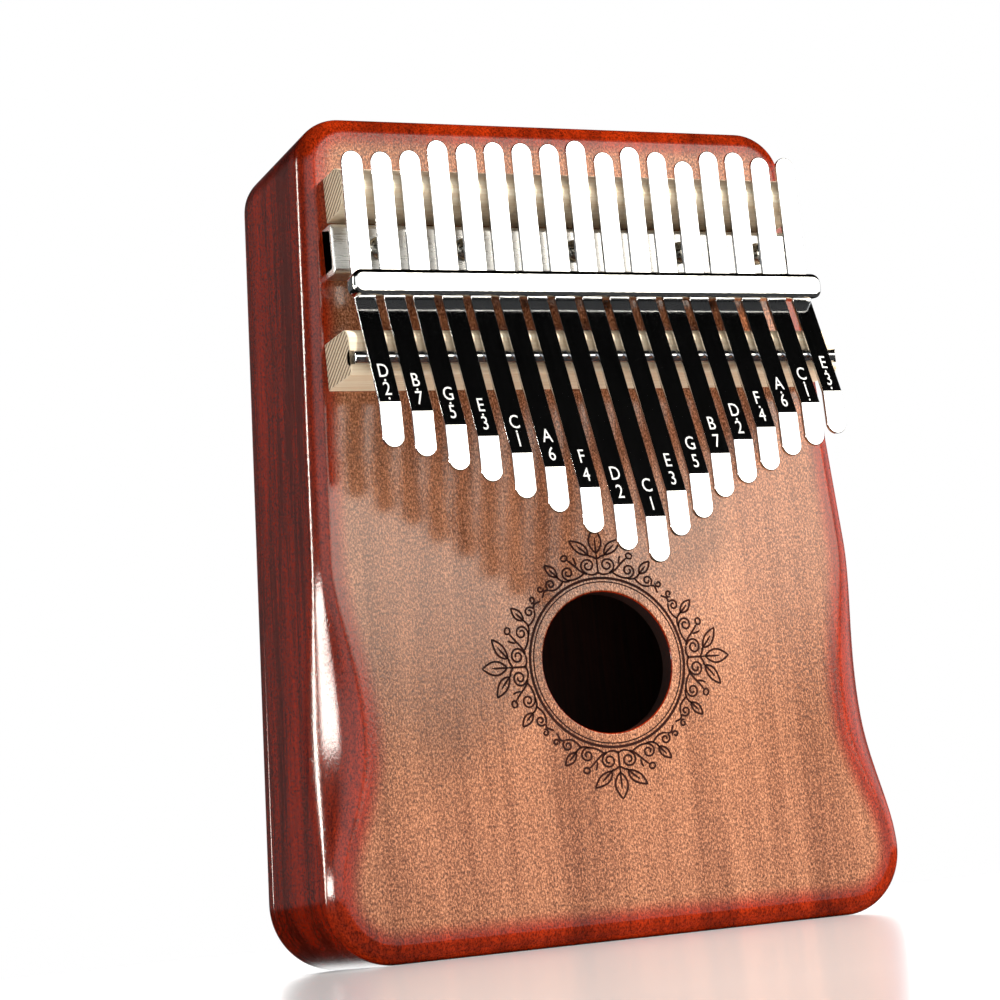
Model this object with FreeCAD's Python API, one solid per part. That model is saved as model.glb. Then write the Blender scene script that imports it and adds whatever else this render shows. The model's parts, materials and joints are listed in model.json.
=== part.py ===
import FreeCAD, Part
import math
import os

os.makedirs("parts", exist_ok=True)
V = FreeCAD.Vector

# Box kalimba with seventeen tines. It stands on its bottom edge, the playing face looks
# towards -Y, +X is to the player's right and +Z is up. All sizes are in millimetres, and a
# height is a distance in front of the playing face.

# ---------------------------------------------------------------- box
BOX_H = 185.0             # height of the box
BOX_W_BOTTOM = 141.0      # width at the bottom edge
BOX_W_TOP = 121.0         # width at the top edge
BOX_D = 42.0              # depth, playing face to back
CORNER_R_BOTTOM = 15.0    # corner radius of the outline at the bottom
CORNER_R_TOP = 11.0       # and at the top
FACE_EDGE_R = 4.0         # round-over between the playing face and the sides
BACK_EDGE_R = 2.0         # round-over of the back plate
FACE_T = 4.5              # thickness left in the playing face
SIDE_T = 8.0              # thickness of the side walls
BACK_T = 5.0              # thickness of the glued back plate
SCOOP_Z = 48.0            # height of the middle of the two grip scoops
SCOOP_LENGTH = 66.0       # length of a scoop along the edge
SCOOP_R = 12.0            # radius of the scooped edge where it is deepest
SCOOP_LIFT = 0.28         # the cutter stays this far above a tangent cut
HOLE_R = 15.7             # sound hole
HOLE_Z = 60.4

# ---------------------------------------------------------------- inner brace
BRACE_T = 9.0             # thickness of the block behind the bridges
BRACE_MARGIN = 3.0        # the brace goes this far past the bridges, up and down
BRACE_SIDE_GAP = 2.0      # free space between the brace and the side walls

# ---------------------------------------------------------------- tines
TINE_COUNT = 17
TINE_PITCH = 6.7
TINE_W = 4.8
TINE_T = 0.9
LEG_ANGLE = 18.9          # rise of the playing legs above the face, degrees
TIP_ANGLE = 0.5           # rise of the flattened tips, degrees
TAIL_ANGLE = 1.0          # rise of the tails towards the backstop, degrees
TIP_LENGTH = 9.8          # kink to tip, along the height of the box
BEND_R = 8.0              # bend of a tine under the pressure bar
LONGEST_REACH = 48.7      # bridge rod to the tip of the middle tine
REACH_CORRECTION = 4.0    # end correction in the law of tine lengths
MAJOR_SCALE = (0, 2, 4, 5, 7, 9, 11)   # semitones of one octave
TAIL_REACH = 49.5         # bridge rod to the usual place of the tail ends
# Each tine is slid a little up or down when the instrument is tuned.
TUNING_SLIDE = (-3.0, -3.0, -2.5, 0.0, -0.5, 0.0, 0.0, 0.0, 1.0,
                -1.5, 0.0, -1.0, -3.0, -0.5, -0.5, -1.5, -1.5)

# ---------------------------------------------------------------- bridges
ROD_R = 1.5
ROD_BELOW_TOP = 59.0      # top edge of the box to the rod
ROD_TINE_H = 16.7         # height of the tines' middle plane over the rod
ROD_OVERHANG = 2.4        # past the outer tine, at each end
FRONT_BRIDGE_OVERHANG = 3.2
FRONT_BRIDGE_BELOW = 3.7  # foot of the bridge below the rod
FRONT_BRIDGE_ABOVE = 6.6  # foot of the bridge above the rod
LIP_H = 0.2               # lips of the groove above the middle of the rod
LOW_LIP_ROUND = 0.7       # part of each lip's width that is rounded over
HIGH_LIP_ROUND = 0.6
ROD_END_CHAMFER = 0.3
BACKSTOP_RISE = 39.0      # rod to backstop
BACKSTOP_W = 10.0

# ---------------------------------------------------------------- clamp
BAR_RISE = 16.3           # rod to pressure bar
BAR_OVERHANG = 1.2
BAR_W = 5.8
BAR_T = 4.1
BAR_BELLY_R = 6.0         # rounded underside that presses on the tines
BAR_FACE_R = 1.0          # round-over of the bar's front
BAR_END_R = 2.2           # corners of the bar's ends
BRACKET_OVERHANG = 1.4
BRACKET_T = 1.6
BRACKET_H = 6.0
BRACKET_EDGE_R = 1.2
BRACKET_LOW_RISE = 4.7    # middle of the bar to the bracket's two long edges
BRACKET_HIGH_RISE = 15.9
BAR_SCREW_D = 2.5
BAR_SCREW_HEAD_D = 4.8
BAR_SCREW_HEAD_H = 1.6
BAR_SCREW_DEPTH = 2.8     # thread inside the bar
BAR_SCREW_GAPS = (-5.5, -1.5, 1.5, 5.5)    # in tine pitches from the middle
WOOD_SCREW_D = 2.6
WOOD_SCREW_LENGTH = 14.0
WOOD_SCREW_HEAD_D = 5.0
WOOD_SCREW_HEAD_H = 1.6
WOOD_SCREW_RISE = 10.3    # pressure bar to the row of wood screws
WOOD_SCREW_PLACES = (-7, -4, 0, 4, 7)      # in tine pitches from the middle
SLOT_W = 0.7              # driver slot in a screw's head

# ---------------------------------------------------------------- fits
CONTACT = 0.01            # two pieces that press on each other
SHANK_CLEARANCE = 0.15    # around a screw's shank, on the radius
GROOVE_CLEARANCE = 0.02   # rod in its groove, on the radius
HINGE_CLEARANCE = 0.03    # between the clamped and the free half of a tine
HINGE_PAST_ROD = 2.0      # the flexing line lies just past the rod's contact

leg = math.radians(LEG_ANGLE)
tip = math.radians(TIP_ANGLE)
tail = math.radians(TAIL_ANGLE)
taper = math.atan((BOX_W_BOTTOM - BOX_W_TOP) / 2 / BOX_H)

# The mechanism hangs from the top edge, and its bars are as wide as the comb of tines.
ROD_Z = BOX_H - ROD_BELOW_TOP
BAR_Z = ROD_Z + BAR_RISE
BACKSTOP_Z = ROD_Z + BACKSTOP_RISE
WOOD_SCREW_Z = BAR_Z + WOOD_SCREW_RISE
COMB_HALF = (TINE_COUNT - 1) / 2 * TINE_PITCH + TINE_W / 2


# ---------------------------------------------------------------- law of the tines
def scale_step(rank):
    """Semitones of the rank-th note of the scale above the lowest one."""
    octave, note = divmod(rank, len(MAJOR_SCALE))
    return 12 * octave + MAJOR_SCALE[note]


def tine_reach(index):
    """Rod to tip. The lowest note is in the middle and the notes climb outwards, left
    first, and the pitch of a bar goes with one over its length squared."""
    offset = index - TINE_COUNT // 2
    rank = 2 * offset if offset >= 0 else -2 * offset - 1
    ratio = 2 ** (-scale_step(rank) / 24)
    return (LONGEST_REACH + REACH_CORRECTION) * ratio - REACH_CORRECTION


def tine_x(index):
    return (index - TINE_COUNT // 2) * TINE_PITCH


def leg_height(z):
    """Height of a playing leg's middle plane."""
    return ROD_TINE_H + (ROD_Z - z) * math.tan(leg)


# The leg and the tail are joined by an arc whose lowest point is under the pressure bar.
half_turn = (leg + tail) / 2
lean = (leg - tail) / 2
bend_z = BAR_Z - BEND_R * math.sin(lean) / math.cos(half_turn)
bend_h = leg_height(bend_z)
arc_h = bend_h + BEND_R * math.cos(lean) / math.cos(half_turn)
saddle_h = arc_h - BEND_R


def tail_height(z):
    """Height of a tail's middle plane."""
    return bend_h + (z - bend_z) * math.tan(tail)


# The flexing line of every tine, on its middle plane, just past the rod.
rod_h = ROD_TINE_H - (ROD_R + TINE_T / 2 + CONTACT) / math.cos(leg)
touch_z = ROD_Z + (ROD_R + TINE_T / 2) * math.sin(leg)
hinge_z = touch_z - HINGE_PAST_ROD * math.cos(leg)
hinge_h = leg_height(hinge_z)

# The longest tip stands out furthest, and the whole object is centred on Y.
longest_kink_h = leg_height(ROD_Z - LONGEST_REACH + TIP_LENGTH)
tip_h = longest_kink_h + TIP_LENGTH * math.tan(tip) + TINE_T / 2 / math.cos(tip)
FACE_Y = (tip_h - BOX_D) / 2

backstop_h = tail_height(BACKSTOP_Z) - TINE_T / 2 - CONTACT
bar_h = saddle_h + TINE_T / 2 + CONTACT


# ---------------------------------------------------------------- helpers
def at(x, h, z):
    """A point at height h in front of the playing face."""
    return V(x, FACE_Y - h, z)


def save(shape, node):
    """Write one node, after making sure that it is sound."""
    if not shape.isValid():
        raise RuntimeError(node + " is not a valid shape")
    shape.exportStep("parts/" + node + ".step")
    print(node, round(shape.Volume, 2), len(shape.Solids))


def cylinder(radius, x, z, h0, h1):
    """Cylinder square to the playing face, from height h0 to height h1."""
    return Part.makeCylinder(radius, h1 - h0, at(x, h0, z), V(0, -1, 0))


def across(points, x0, x1):
    """Closed outline of (z, h) points, drawn out along X. A point marked "arc" is the
    middle of an arc from the point before it to the point after it."""
    edges = []
    count = len(points)
    places = [at(x0, p[1], p[0]) for p in points]
    for i in range(count):
        after = (i + 1) % count
        if len(points[i]) == 3:
            continue
        if len(points[after]) == 3:
            edges.append(Part.Arc(places[i], places[after], places[(i + 2) % count]).toShape())
        else:
            edges.append(Part.LineSegment(places[i], places[after]).toShape())
    face = Part.Face(Part.Wire(edges))
    return face.extrude(V(x1 - x0, 0, 0))


def rounded_trapezoid(inset, depth0, depth1):
    """Prism of the box outline, moved inwards by inset, between two depths."""
    side_inset = inset / math.cos(taper)
    low = BOX_W_BOTTOM / 2 - inset * math.tan(taper) - side_inset
    high = BOX_W_TOP / 2 + inset * math.tan(taper) - side_inset
    corners = [at(-low, -depth0, inset), at(low, -depth0, inset),
               at(high, -depth0, BOX_H - inset), at(-high, -depth0, BOX_H - inset)]
    face = Part.Face(Part.makePolygon(corners + corners[:1]))
    solid = face.extrude(V(0, depth1 - depth0, 0))
    upright = [e for e in solid.Edges if abs(e.tangentAt(e.FirstParameter).y) > 0.99]
    bottom = [e for e in upright if e.BoundBox.ZMax < BOX_H / 2]
    solid = solid.makeFillet(CORNER_R_BOTTOM - inset, bottom)
    upright = [e for e in solid.Edges if abs(e.tangentAt(e.FirstParameter).y) > 0.99]
    top = [e for e in upright if e.BoundBox.ZMin > BOX_H / 2]
    return solid.makeFillet(CORNER_R_TOP - inset, top)


def edges_at_depth(solid, depth):
    """The edges that lie in the plane at this depth behind the playing face."""
    y = FACE_Y + depth
    return [e for e in solid.Edges
            if abs(e.BoundBox.YMin - y) < 1e-4 and abs(e.BoundBox.YMax - y) < 1e-4]


# ---------------------------------------------------------------- box
def scoop_cutter(side):
    """A waisted spool whose axis crosses the edge. It leaves the edge with the radius
    SCOOP_R in the middle of the scoop and fades out at both ends."""
    lengthwise = V(-side * math.sin(taper), 0, math.cos(taper))
    outwards = V(side * math.cos(taper), 0, math.sin(taper))
    normal = (outwards + V(0, -1, 0)).normalize()
    axis = lengthwise.cross(normal).normalize()
    half_width = BOX_W_BOTTOM / 2 - SCOOP_Z * math.tan(taper)
    corner = at(side * half_width, 0, SCOOP_Z)
    arc_depth = SCOOP_R * (math.sqrt(2) - 1) - SCOOP_LIFT
    sagitta = arc_depth - FACE_EDGE_R * (math.sqrt(2) - 1)
    waist_r = (SCOOP_LENGTH / 2) ** 2 / (2 * sagitta) + sagitta / 2
    middle = corner + normal * (waist_r - arc_depth)
    arm = SCOOP_R * math.sin(math.pi / 4)
    drop = SCOOP_R * (1 - math.cos(math.pi / 4))
    flare = SCOOP_R

    def meridian(along, radius):
        return middle + axis * along - normal * radius

    waist = Part.Arc(meridian(-arm, waist_r + drop), meridian(0, waist_r),
                     meridian(arm, waist_r + drop))
    rim = [meridian(arm, waist_r + drop), meridian(arm + flare, waist_r + drop + flare),
           meridian(arm + flare, 0), meridian(-arm - flare, 0),
           meridian(-arm - flare, waist_r + drop + flare), meridian(-arm, waist_r + drop)]
    lines = [Part.LineSegment(a, b).toShape() for a, b in zip(rim[:-1], rim[1:])]
    face = Part.Face(Part.Wire([waist.toShape()] + lines))
    return face.revolve(middle, axis, 360)


def wood_screw_holes(h0, h1):
    """Clearance holes on the axes of the wood screws."""
    radius = WOOD_SCREW_D / 2 + SHANK_CLEARANCE
    return [cylinder(radius, place * TINE_PITCH, WOOD_SCREW_Z, h0, h1)
            for place in WOOD_SCREW_PLACES]


def bar_screw_holes(h0, h1):
    """Clearance holes on the axes of the pressure bar's screws."""
    radius = BAR_SCREW_D / 2 + SHANK_CLEARANCE
    return [cylinder(radius, gap * TINE_PITCH, BAR_Z, h0, h1) for gap in BAR_SCREW_GAPS]


def body_shell():
    """Face and sides milled from one block, open at the back."""
    seam = BOX_D - BACK_T
    outer = rounded_trapezoid(0, 0, seam)
    outer = outer.makeFillet(FACE_EDGE_R, edges_at_depth(outer, 0))
    cavity = rounded_trapezoid(SIDE_T, FACE_T, seam + 1)
    hole = cylinder(HOLE_R, 0, HOLE_Z, -FACE_T - 1, 1)
    cutters = [cavity, hole, scoop_cutter(1), scoop_cutter(-1)]
    cutters += wood_screw_holes(BRACKET_H - WOOD_SCREW_LENGTH - 1, 1)
    cutters += bar_screw_holes(-FACE_T - 1, 1)
    return outer.cut(cutters)


def back_plate():
    plate = rounded_trapezoid(0, BOX_D - BACK_T, BOX_D)
    return plate.makeFillet(BACK_EDGE_R, edges_at_depth(plate, BOX_D))


def inner_brace():
    """Block glued behind the face, where the bridges press and the wood screws bite."""
    z0 = ROD_Z - FRONT_BRIDGE_BELOW - BRACE_MARGIN
    z1 = BACKSTOP_Z + BACKSTOP_W / 2 + BRACE_MARGIN
    half = BOX_W_BOTTOM / 2 - z1 * math.tan(taper) - SIDE_T / math.cos(taper) - BRACE_SIDE_GAP
    block = Part.makeBox(2 * half, BRACE_T, z1 - z0, at(-half, -FACE_T, z0))
    cutters = wood_screw_holes(BRACKET_H - WOOD_SCREW_LENGTH - 1, -FACE_T + 1)
    cutters += bar_screw_holes(-FACE_T - BRACE_T - 1, -FACE_T + 1)
    return block.cut(cutters)


# ---------------------------------------------------------------- bridges
def backstop_bridge():
    """Wooden bar with a domed top, under the tails of the tines."""
    half = BACKSTOP_W / 2
    shoulder = backstop_h - half
    points = [(BACKSTOP_Z - half, 0), (BACKSTOP_Z - half, shoulder),
              (BACKSTOP_Z, backstop_h, "arc"), (BACKSTOP_Z + half, shoulder),
              (BACKSTOP_Z + half, 0)]
    return across(points, -COMB_HALF, COMB_HALF)


def front_bridge():
    """Wooden bar with a groove for the steel rod. Its lips stay under the tines."""
    z0 = ROD_Z - FRONT_BRIDGE_BELOW
    z1 = ROD_Z + FRONT_BRIDGE_ABOVE
    groove = ROD_R + GROOVE_CLEARANCE
    low_r = (FRONT_BRIDGE_BELOW - groove) * LOW_LIP_ROUND
    high_r = (FRONT_BRIDGE_ABOVE - groove) * HIGH_LIP_ROUND
    lip = rod_h + LIP_H
    back_lip = lip - (z1 - high_r - ROD_Z) * math.tan(leg) / 2
    bulge = math.sqrt(0.5)
    points = [(z0, 0), (z0, lip - low_r),
              (z0 + low_r * (1 - bulge), lip - low_r * (1 - bulge), "arc"),
              (z0 + low_r, lip), (ROD_Z - groove, lip), (ROD_Z - groove, rod_h),
              (ROD_Z, rod_h - groove, "arc"),
              (ROD_Z + groove, rod_h), (ROD_Z + groove, lip),
              (z1 - high_r, back_lip),
              (z1 - high_r * (1 - bulge), back_lip - high_r * (1 - bulge), "arc"),
              (z1, back_lip - high_r), (z1, 0)]
    half = COMB_HALF + FRONT_BRIDGE_OVERHANG
    return across(points, -half, half)


def bridge_rod():
    half = COMB_HALF + ROD_OVERHANG
    rod = Part.makeCylinder(ROD_R, 2 * half, at(-half, rod_h, ROD_Z), V(1, 0, 0))
    return rod.makeChamfer(ROD_END_CHAMFER, [e for e in rod.Edges if e.Closed])


# ---------------------------------------------------------------- clamp
def base_bracket():
    """Shallow steel channel that stands on the face with its flanges."""
    half = COMB_HALF + BRACKET_OVERHANG
    z0 = BAR_Z + BRACKET_LOW_RISE
    height = BRACKET_HIGH_RISE - BRACKET_LOW_RISE
    channel = Part.makeBox(2 * half, BRACKET_H, height, at(-half, BRACKET_H, z0))
    top_y = FACE_Y - BRACKET_H
    rims = [e for e in channel.Edges if abs(e.tangentAt(e.FirstParameter).x) > 0.99
            and abs(e.BoundBox.YMax - top_y) < 0.01]
    channel = channel.makeFillet(BRACKET_EDGE_R, rims)
    inside = Part.makeBox(2 * half + 2, BRACKET_H - BRACKET_T, height - 2 * BRACKET_T,
                          at(-half - 1, BRACKET_H - BRACKET_T, z0 + BRACKET_T))
    return channel.cut([inside] + wood_screw_holes(0, BRACKET_H + 1))


def bracket_screws():
    """Pan-head wood screws through the bracket and the face into the brace."""
    screws = []
    for place in WOOD_SCREW_PLACES:
        x = place * TINE_PITCH
        shank = cylinder(WOOD_SCREW_D / 2, x, WOOD_SCREW_Z,
                         BRACKET_H - WOOD_SCREW_LENGTH, BRACKET_H + 0.5)
        head = cylinder(WOOD_SCREW_HEAD_D / 2, x, WOOD_SCREW_Z,
                        BRACKET_H, BRACKET_H + WOOD_SCREW_HEAD_H)
        slot = Part.makeBox(WOOD_SCREW_HEAD_D, WOOD_SCREW_HEAD_H / 2, SLOT_W,
                            at(x - WOOD_SCREW_HEAD_D / 2, BRACKET_H + WOOD_SCREW_HEAD_H,
                               WOOD_SCREW_Z - SLOT_W / 2))
        screws.append(head.fuse(shank).cut(slot))
    return Part.Compound(screws)


def pressure_bar():
    """Steel bar across the tines, with a rounded underside and tapped from below."""
    z0 = BAR_Z - BAR_W / 2
    z1 = BAR_Z + BAR_W / 2
    top = bar_h + BAR_T
    belly = BAR_BELLY_R - math.sqrt(BAR_BELLY_R ** 2 - (BAR_W / 2) ** 2)
    corner = BAR_FACE_R * (1 - math.sqrt(0.5))
    points = [(z0, bar_h + belly), (z0, top - BAR_FACE_R),
              (z0 + corner, top - corner, "arc"), (z0 + BAR_FACE_R, top),
              (z1 - BAR_FACE_R, top), (z1 - corner, top - corner, "arc"),
              (z1, top - BAR_FACE_R), (z1, bar_h + belly), (BAR_Z, bar_h, "arc")]
    half = COMB_HALF + BAR_OVERHANG
    bar = across(points, -half, half)
    outline = Part.makeBox(2 * half, BAR_T + 2, BAR_W, at(-half, top + 1, z0))
    ends = [e for e in outline.Edges if abs(e.tangentAt(e.FirstParameter).y) > 0.99]
    bar = bar.common(outline.makeFillet(BAR_END_R, ends))
    holes = [cylinder(BAR_SCREW_D / 2, gap * TINE_PITCH, BAR_Z, bar_h - 1,
                      bar_h + BAR_SCREW_DEPTH) for gap in BAR_SCREW_GAPS]
    return bar.cut(holes)


def pressure_bar_screws():
    """Machine screws from inside the box, through brace and face and between the tines,
    into the bar."""
    seat = -FACE_T - BRACE_T
    screws = []
    for gap in BAR_SCREW_GAPS:
        x = gap * TINE_PITCH
        head = cylinder(BAR_SCREW_HEAD_D / 2, x, BAR_Z, seat - BAR_SCREW_HEAD_H, seat)
        shank = cylinder(BAR_SCREW_D / 2, x, BAR_Z, seat - 0.5, bar_h + BAR_SCREW_DEPTH)
        screws.append(head.fuse(shank))
    return Part.Compound(screws)


# ---------------------------------------------------------------- tines
def on_leg(z, offset):
    """A (z, h) point beside a playing leg's middle plane."""
    return (z + offset * math.sin(leg), leg_height(z) + offset * math.cos(leg))


def tine_root(index):
    """Clamped half: tail, bend under the pressure bar and leg as far as the rod."""
    half = TINE_T / 2
    top = ROD_Z + TAIL_REACH + TUNING_SLIDE[index]
    socket = half + HINGE_CLEARANCE
    back_off = math.sqrt(socket ** 2 - half ** 2) * math.cos(leg)

    def on_tail(z, offset):
        return (z - offset * math.sin(tail), tail_height(z) + offset * math.cos(tail))

    def on_arc(offset, angle):
        radius = BEND_R - offset
        return (BAR_Z + radius * math.sin(angle), arc_h - radius * math.cos(angle))

    outline = [on_leg(hinge_z + back_off, half), on_arc(half, -leg),
               on_arc(half, -lean) + ("arc",), on_arc(half, tail), on_tail(top, half),
               on_tail(top, -half), on_arc(-half, tail), on_arc(-half, -lean) + ("arc",),
               on_arc(-half, -leg), on_leg(hinge_z + back_off, -half),
               (hinge_z + socket * math.cos(leg), hinge_h - socket * math.sin(leg), "arc")]
    x = tine_x(index)
    strip = across(outline, x - TINE_W / 2, x + TINE_W / 2)
    low = hinge_z - 1
    end = top - TINE_W / 2
    reach = tip_h + 1
    plan = Part.makeBox(TINE_W, reach, end - low, at(x - TINE_W / 2, reach, low))
    strip = strip.common(plan.fuse(cylinder(TINE_W / 2, x, end, 0, reach)))
    notches = [cylinder(BAR_SCREW_D / 2 + SHANK_CLEARANCE, gap * TINE_PITCH, BAR_Z, 0, reach)
               for gap in BAR_SCREW_GAPS if abs(gap * TINE_PITCH - x) < TINE_PITCH]
    return strip.cut(notches) if notches else strip


def tine_tongue(index):
    """Free half: leg from the flexing line to the kink, and the flattened tip."""
    half = TINE_T / 2
    tip_z = ROD_Z - tine_reach(index)
    kink_z = tip_z + TIP_LENGTH
    mitre = math.tan((leg - tip) / 2) * half

    def on_tip(z, offset):
        rise = (kink_z - z) * math.tan(tip)
        return (z + offset * math.sin(tip), leg_height(kink_z) + rise + offset * math.cos(tip))

    outline = [on_leg(hinge_z, half), on_leg(kink_z - mitre * math.cos(leg), half),
               on_tip(tip_z - 1, half), on_tip(tip_z - 1, -half),
               on_leg(kink_z + mitre * math.cos(leg), -half), on_leg(hinge_z, -half),
               (hinge_z + half * math.cos(leg), hinge_h - half * math.sin(leg), "arc")]
    x = tine_x(index)
    strip = across(outline, x - TINE_W / 2, x + TINE_W / 2)
    end = tip_z + TINE_W / 2
    reach = tip_h + 1
    plan = Part.makeBox(TINE_W, reach, hinge_z + 1 - end, at(x - TINE_W / 2, reach, end))
    return strip.common(plan.fuse(cylinder(TINE_W / 2, x, end, 0, reach)))


# ---------------------------------------------------------------- build
save(body_shell(), "body_shell")
save(back_plate(), "back_plate")
save(inner_brace(), "inner_brace")
save(backstop_bridge(), "backstop_bridge")
save(front_bridge(), "front_bridge")
save(bridge_rod(), "bridge_rod")
save(base_bracket(), "base_bracket")
save(bracket_screws(), "bracket_screws")
save(pressure_bar(), "pressure_bar")
save(pressure_bar_screws(), "pressure_bar_screws")
for number in range(TINE_COUNT):
    save(tine_root(number), "tine_root_%02d" % (number + 1))
    save(tine_tongue(number), "tine_tongue_%02d" % (number + 1))
print("flexing line at y %.3f z %.3f" % (FACE_Y - hinge_h, hinge_z), "face at y %.3f" % FACE_Y)
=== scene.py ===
import json
import math

import bmesh
import bpy
import numpy as np
from bpy.props import FloatProperty, FloatVectorProperty, PointerProperty
from bpy.types import Operator, Panel, PropertyGroup
from mathutils import Matrix, Vector


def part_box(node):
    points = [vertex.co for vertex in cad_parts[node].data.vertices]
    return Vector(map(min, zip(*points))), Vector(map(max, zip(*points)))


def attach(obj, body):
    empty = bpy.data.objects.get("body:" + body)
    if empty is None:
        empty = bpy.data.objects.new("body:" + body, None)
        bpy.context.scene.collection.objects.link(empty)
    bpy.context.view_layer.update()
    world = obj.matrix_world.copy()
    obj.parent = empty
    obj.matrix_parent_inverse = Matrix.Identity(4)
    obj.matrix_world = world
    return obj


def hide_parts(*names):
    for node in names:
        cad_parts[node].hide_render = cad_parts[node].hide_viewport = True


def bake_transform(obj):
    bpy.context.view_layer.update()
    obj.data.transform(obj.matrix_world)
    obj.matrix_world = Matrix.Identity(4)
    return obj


bl_info = {
    "name": "Box kalimba",
    "version": (1, 0, 0),
    "blender": (4, 5, 0),
    "location": "3D View > Sidebar > Kalimba",
    "description": "Builds a seventeen-tine box kalimba around its fixed frame",
    "category": "Object",
}

# The instrument stands on its bottom edge. Its playing face looks towards -Y, +X is to the
# right and +Z is up. Everything is in metres, and a height is measured out from the face.
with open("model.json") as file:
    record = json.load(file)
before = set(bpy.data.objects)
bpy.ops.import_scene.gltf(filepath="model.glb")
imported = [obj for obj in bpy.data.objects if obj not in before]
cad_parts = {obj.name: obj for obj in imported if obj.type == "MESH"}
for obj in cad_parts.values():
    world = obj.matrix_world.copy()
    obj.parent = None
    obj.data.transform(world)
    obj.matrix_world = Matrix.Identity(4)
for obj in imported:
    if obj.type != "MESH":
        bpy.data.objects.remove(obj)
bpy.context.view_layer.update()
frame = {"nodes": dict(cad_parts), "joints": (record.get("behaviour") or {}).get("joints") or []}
MM = 0.001
FACE_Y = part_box("body_shell")[0].y
SEAM_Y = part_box("back_plate")[0].y
BACK_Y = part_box("back_plate")[1].y
TOP_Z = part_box("body_shell")[1].z
BAR_Z = (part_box("pressure_bar")[0].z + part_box("pressure_bar")[1].z) / 2
HINGE_Y, HINGE_Z = frame["joints"][0]["pos_m"][1:]
TINE_COUNT = len(frame["joints"])
MIDDLE = TINE_COUNT // 2
SCALE_NOTES = "CDEFGAB"
SCREW_PLACES = (-7, -4, 0, 4, 7)    # in tine pitches from the middle
SEAM_EDGE = 0.15 * MM               # broken edges where shell and back plate meet


# ------------------------------------------------------------------ settings
def length(name, description, default):
    return FloatProperty(name=name, description=description, default=default * MM,
                         subtype="DISTANCE", unit="LENGTH", precision=5)


def angle(name, description, default):
    return FloatProperty(name=name, description=description,
                         default=math.radians(default), subtype="ANGLE", unit="ROTATION")


def linear(code):
    """An sRGB hex colour as linear red, green and blue."""
    parts = np.array([int(code[i:i + 2], 16) for i in (1, 3, 5)]) / 255
    return tuple(np.where(parts <= 0.04045, parts / 12.92, ((parts + 0.055) / 1.055) ** 2.4))


def colour(name, description, code):
    return FloatVectorProperty(name=name, description=description, size=3, min=0, max=1,
                               default=linear(code), subtype="COLOR")


class BoxSettings(PropertyGroup):
    """Sizes of the wooden box."""

    bottom_width: length("Bottom width", "Width of the outline at the bottom edge", 141.0)
    top_width: length("Top width", "Width of the outline at the top edge", 121.0)
    bottom_corner: length("Bottom corners", "Radius of the outline's bottom corners", 15.0)
    top_corner: length("Top corners", "Radius of the outline's top corners", 11.0)
    edge_radius: length("Edge radius", "Round-over between face and sides", 4.0)
    back_radius: length("Back radius", "Round-over of the back plate", 2.0)
    wall: length("Wall", "Thickness of the sides", 8.0)
    face_thickness: length("Face thickness", "Thickness of the playing face", 4.5)
    hole_radius: length("Hole radius", "Radius of the sound hole", 15.7)
    hole_height: length("Hole height", "Middle of the sound hole above the floor", 60.4)
    scoop_height: length("Scoop height", "Deepest place of the two grip scoops", 46.0)
    scoop_above: length("Scoop above", "Length of a scoop above its deepest place", 40.0)
    scoop_below: length("Scoop below", "Length of a scoop below its deepest place", 29.0)
    scoop_on_face: length("Scoop on face", "How far a scoop widens the round-over", 6.7)
    scoop_on_side: length("Scoop on side", "How far a scoop deepens the round-over", 9.0)


class MechanismSettings(PropertyGroup):
    """Sizes of the bridges, the clamp and the tines."""

    tine_width: length("Tine width", "Width of a tine", 4.8)
    tine_thickness: length("Tine thickness", "Thickness of a tine", 0.9)
    tine_edge: length("Tine edge", "Broken edge of a tine", 0.16)
    tip_length: length("Tip length", "Kink to tip", 9.8)
    kink_radius: length("Kink radius", "Bend between leg and tip", 0.9)
    saddle_radius: length("Saddle radius", "Bend of a tine under the bar", 8.0)
    leg_angle: angle("Leg angle", "Rise of the playing legs", 18.9)
    tip_angle: angle("Tip angle", "Rise of the tips", 0.5)
    tail_angle: angle("Tail angle", "Rise of the tails", 1.0)
    bend_reach: length("Bend reach", "Half of the stretch in which a tine flexes", 2.6)
    belly_radius: length("Belly radius", "Rounded underside of the pressure bar", 6.0)
    bar_corner: length("Bar corner", "Corners of the pressure bar's ends", 2.2)
    bar_edge: length("Bar edge", "Round-over of the pressure bar's front", 1.0)
    sheet: length("Sheet", "Sheet thickness of the base bracket", 1.6)
    sheet_bend: length("Sheet bend", "Outer bend of the base bracket", 1.2)
    mark_height: length("Mark height", "Height of the etched note names", 4.1)


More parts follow.
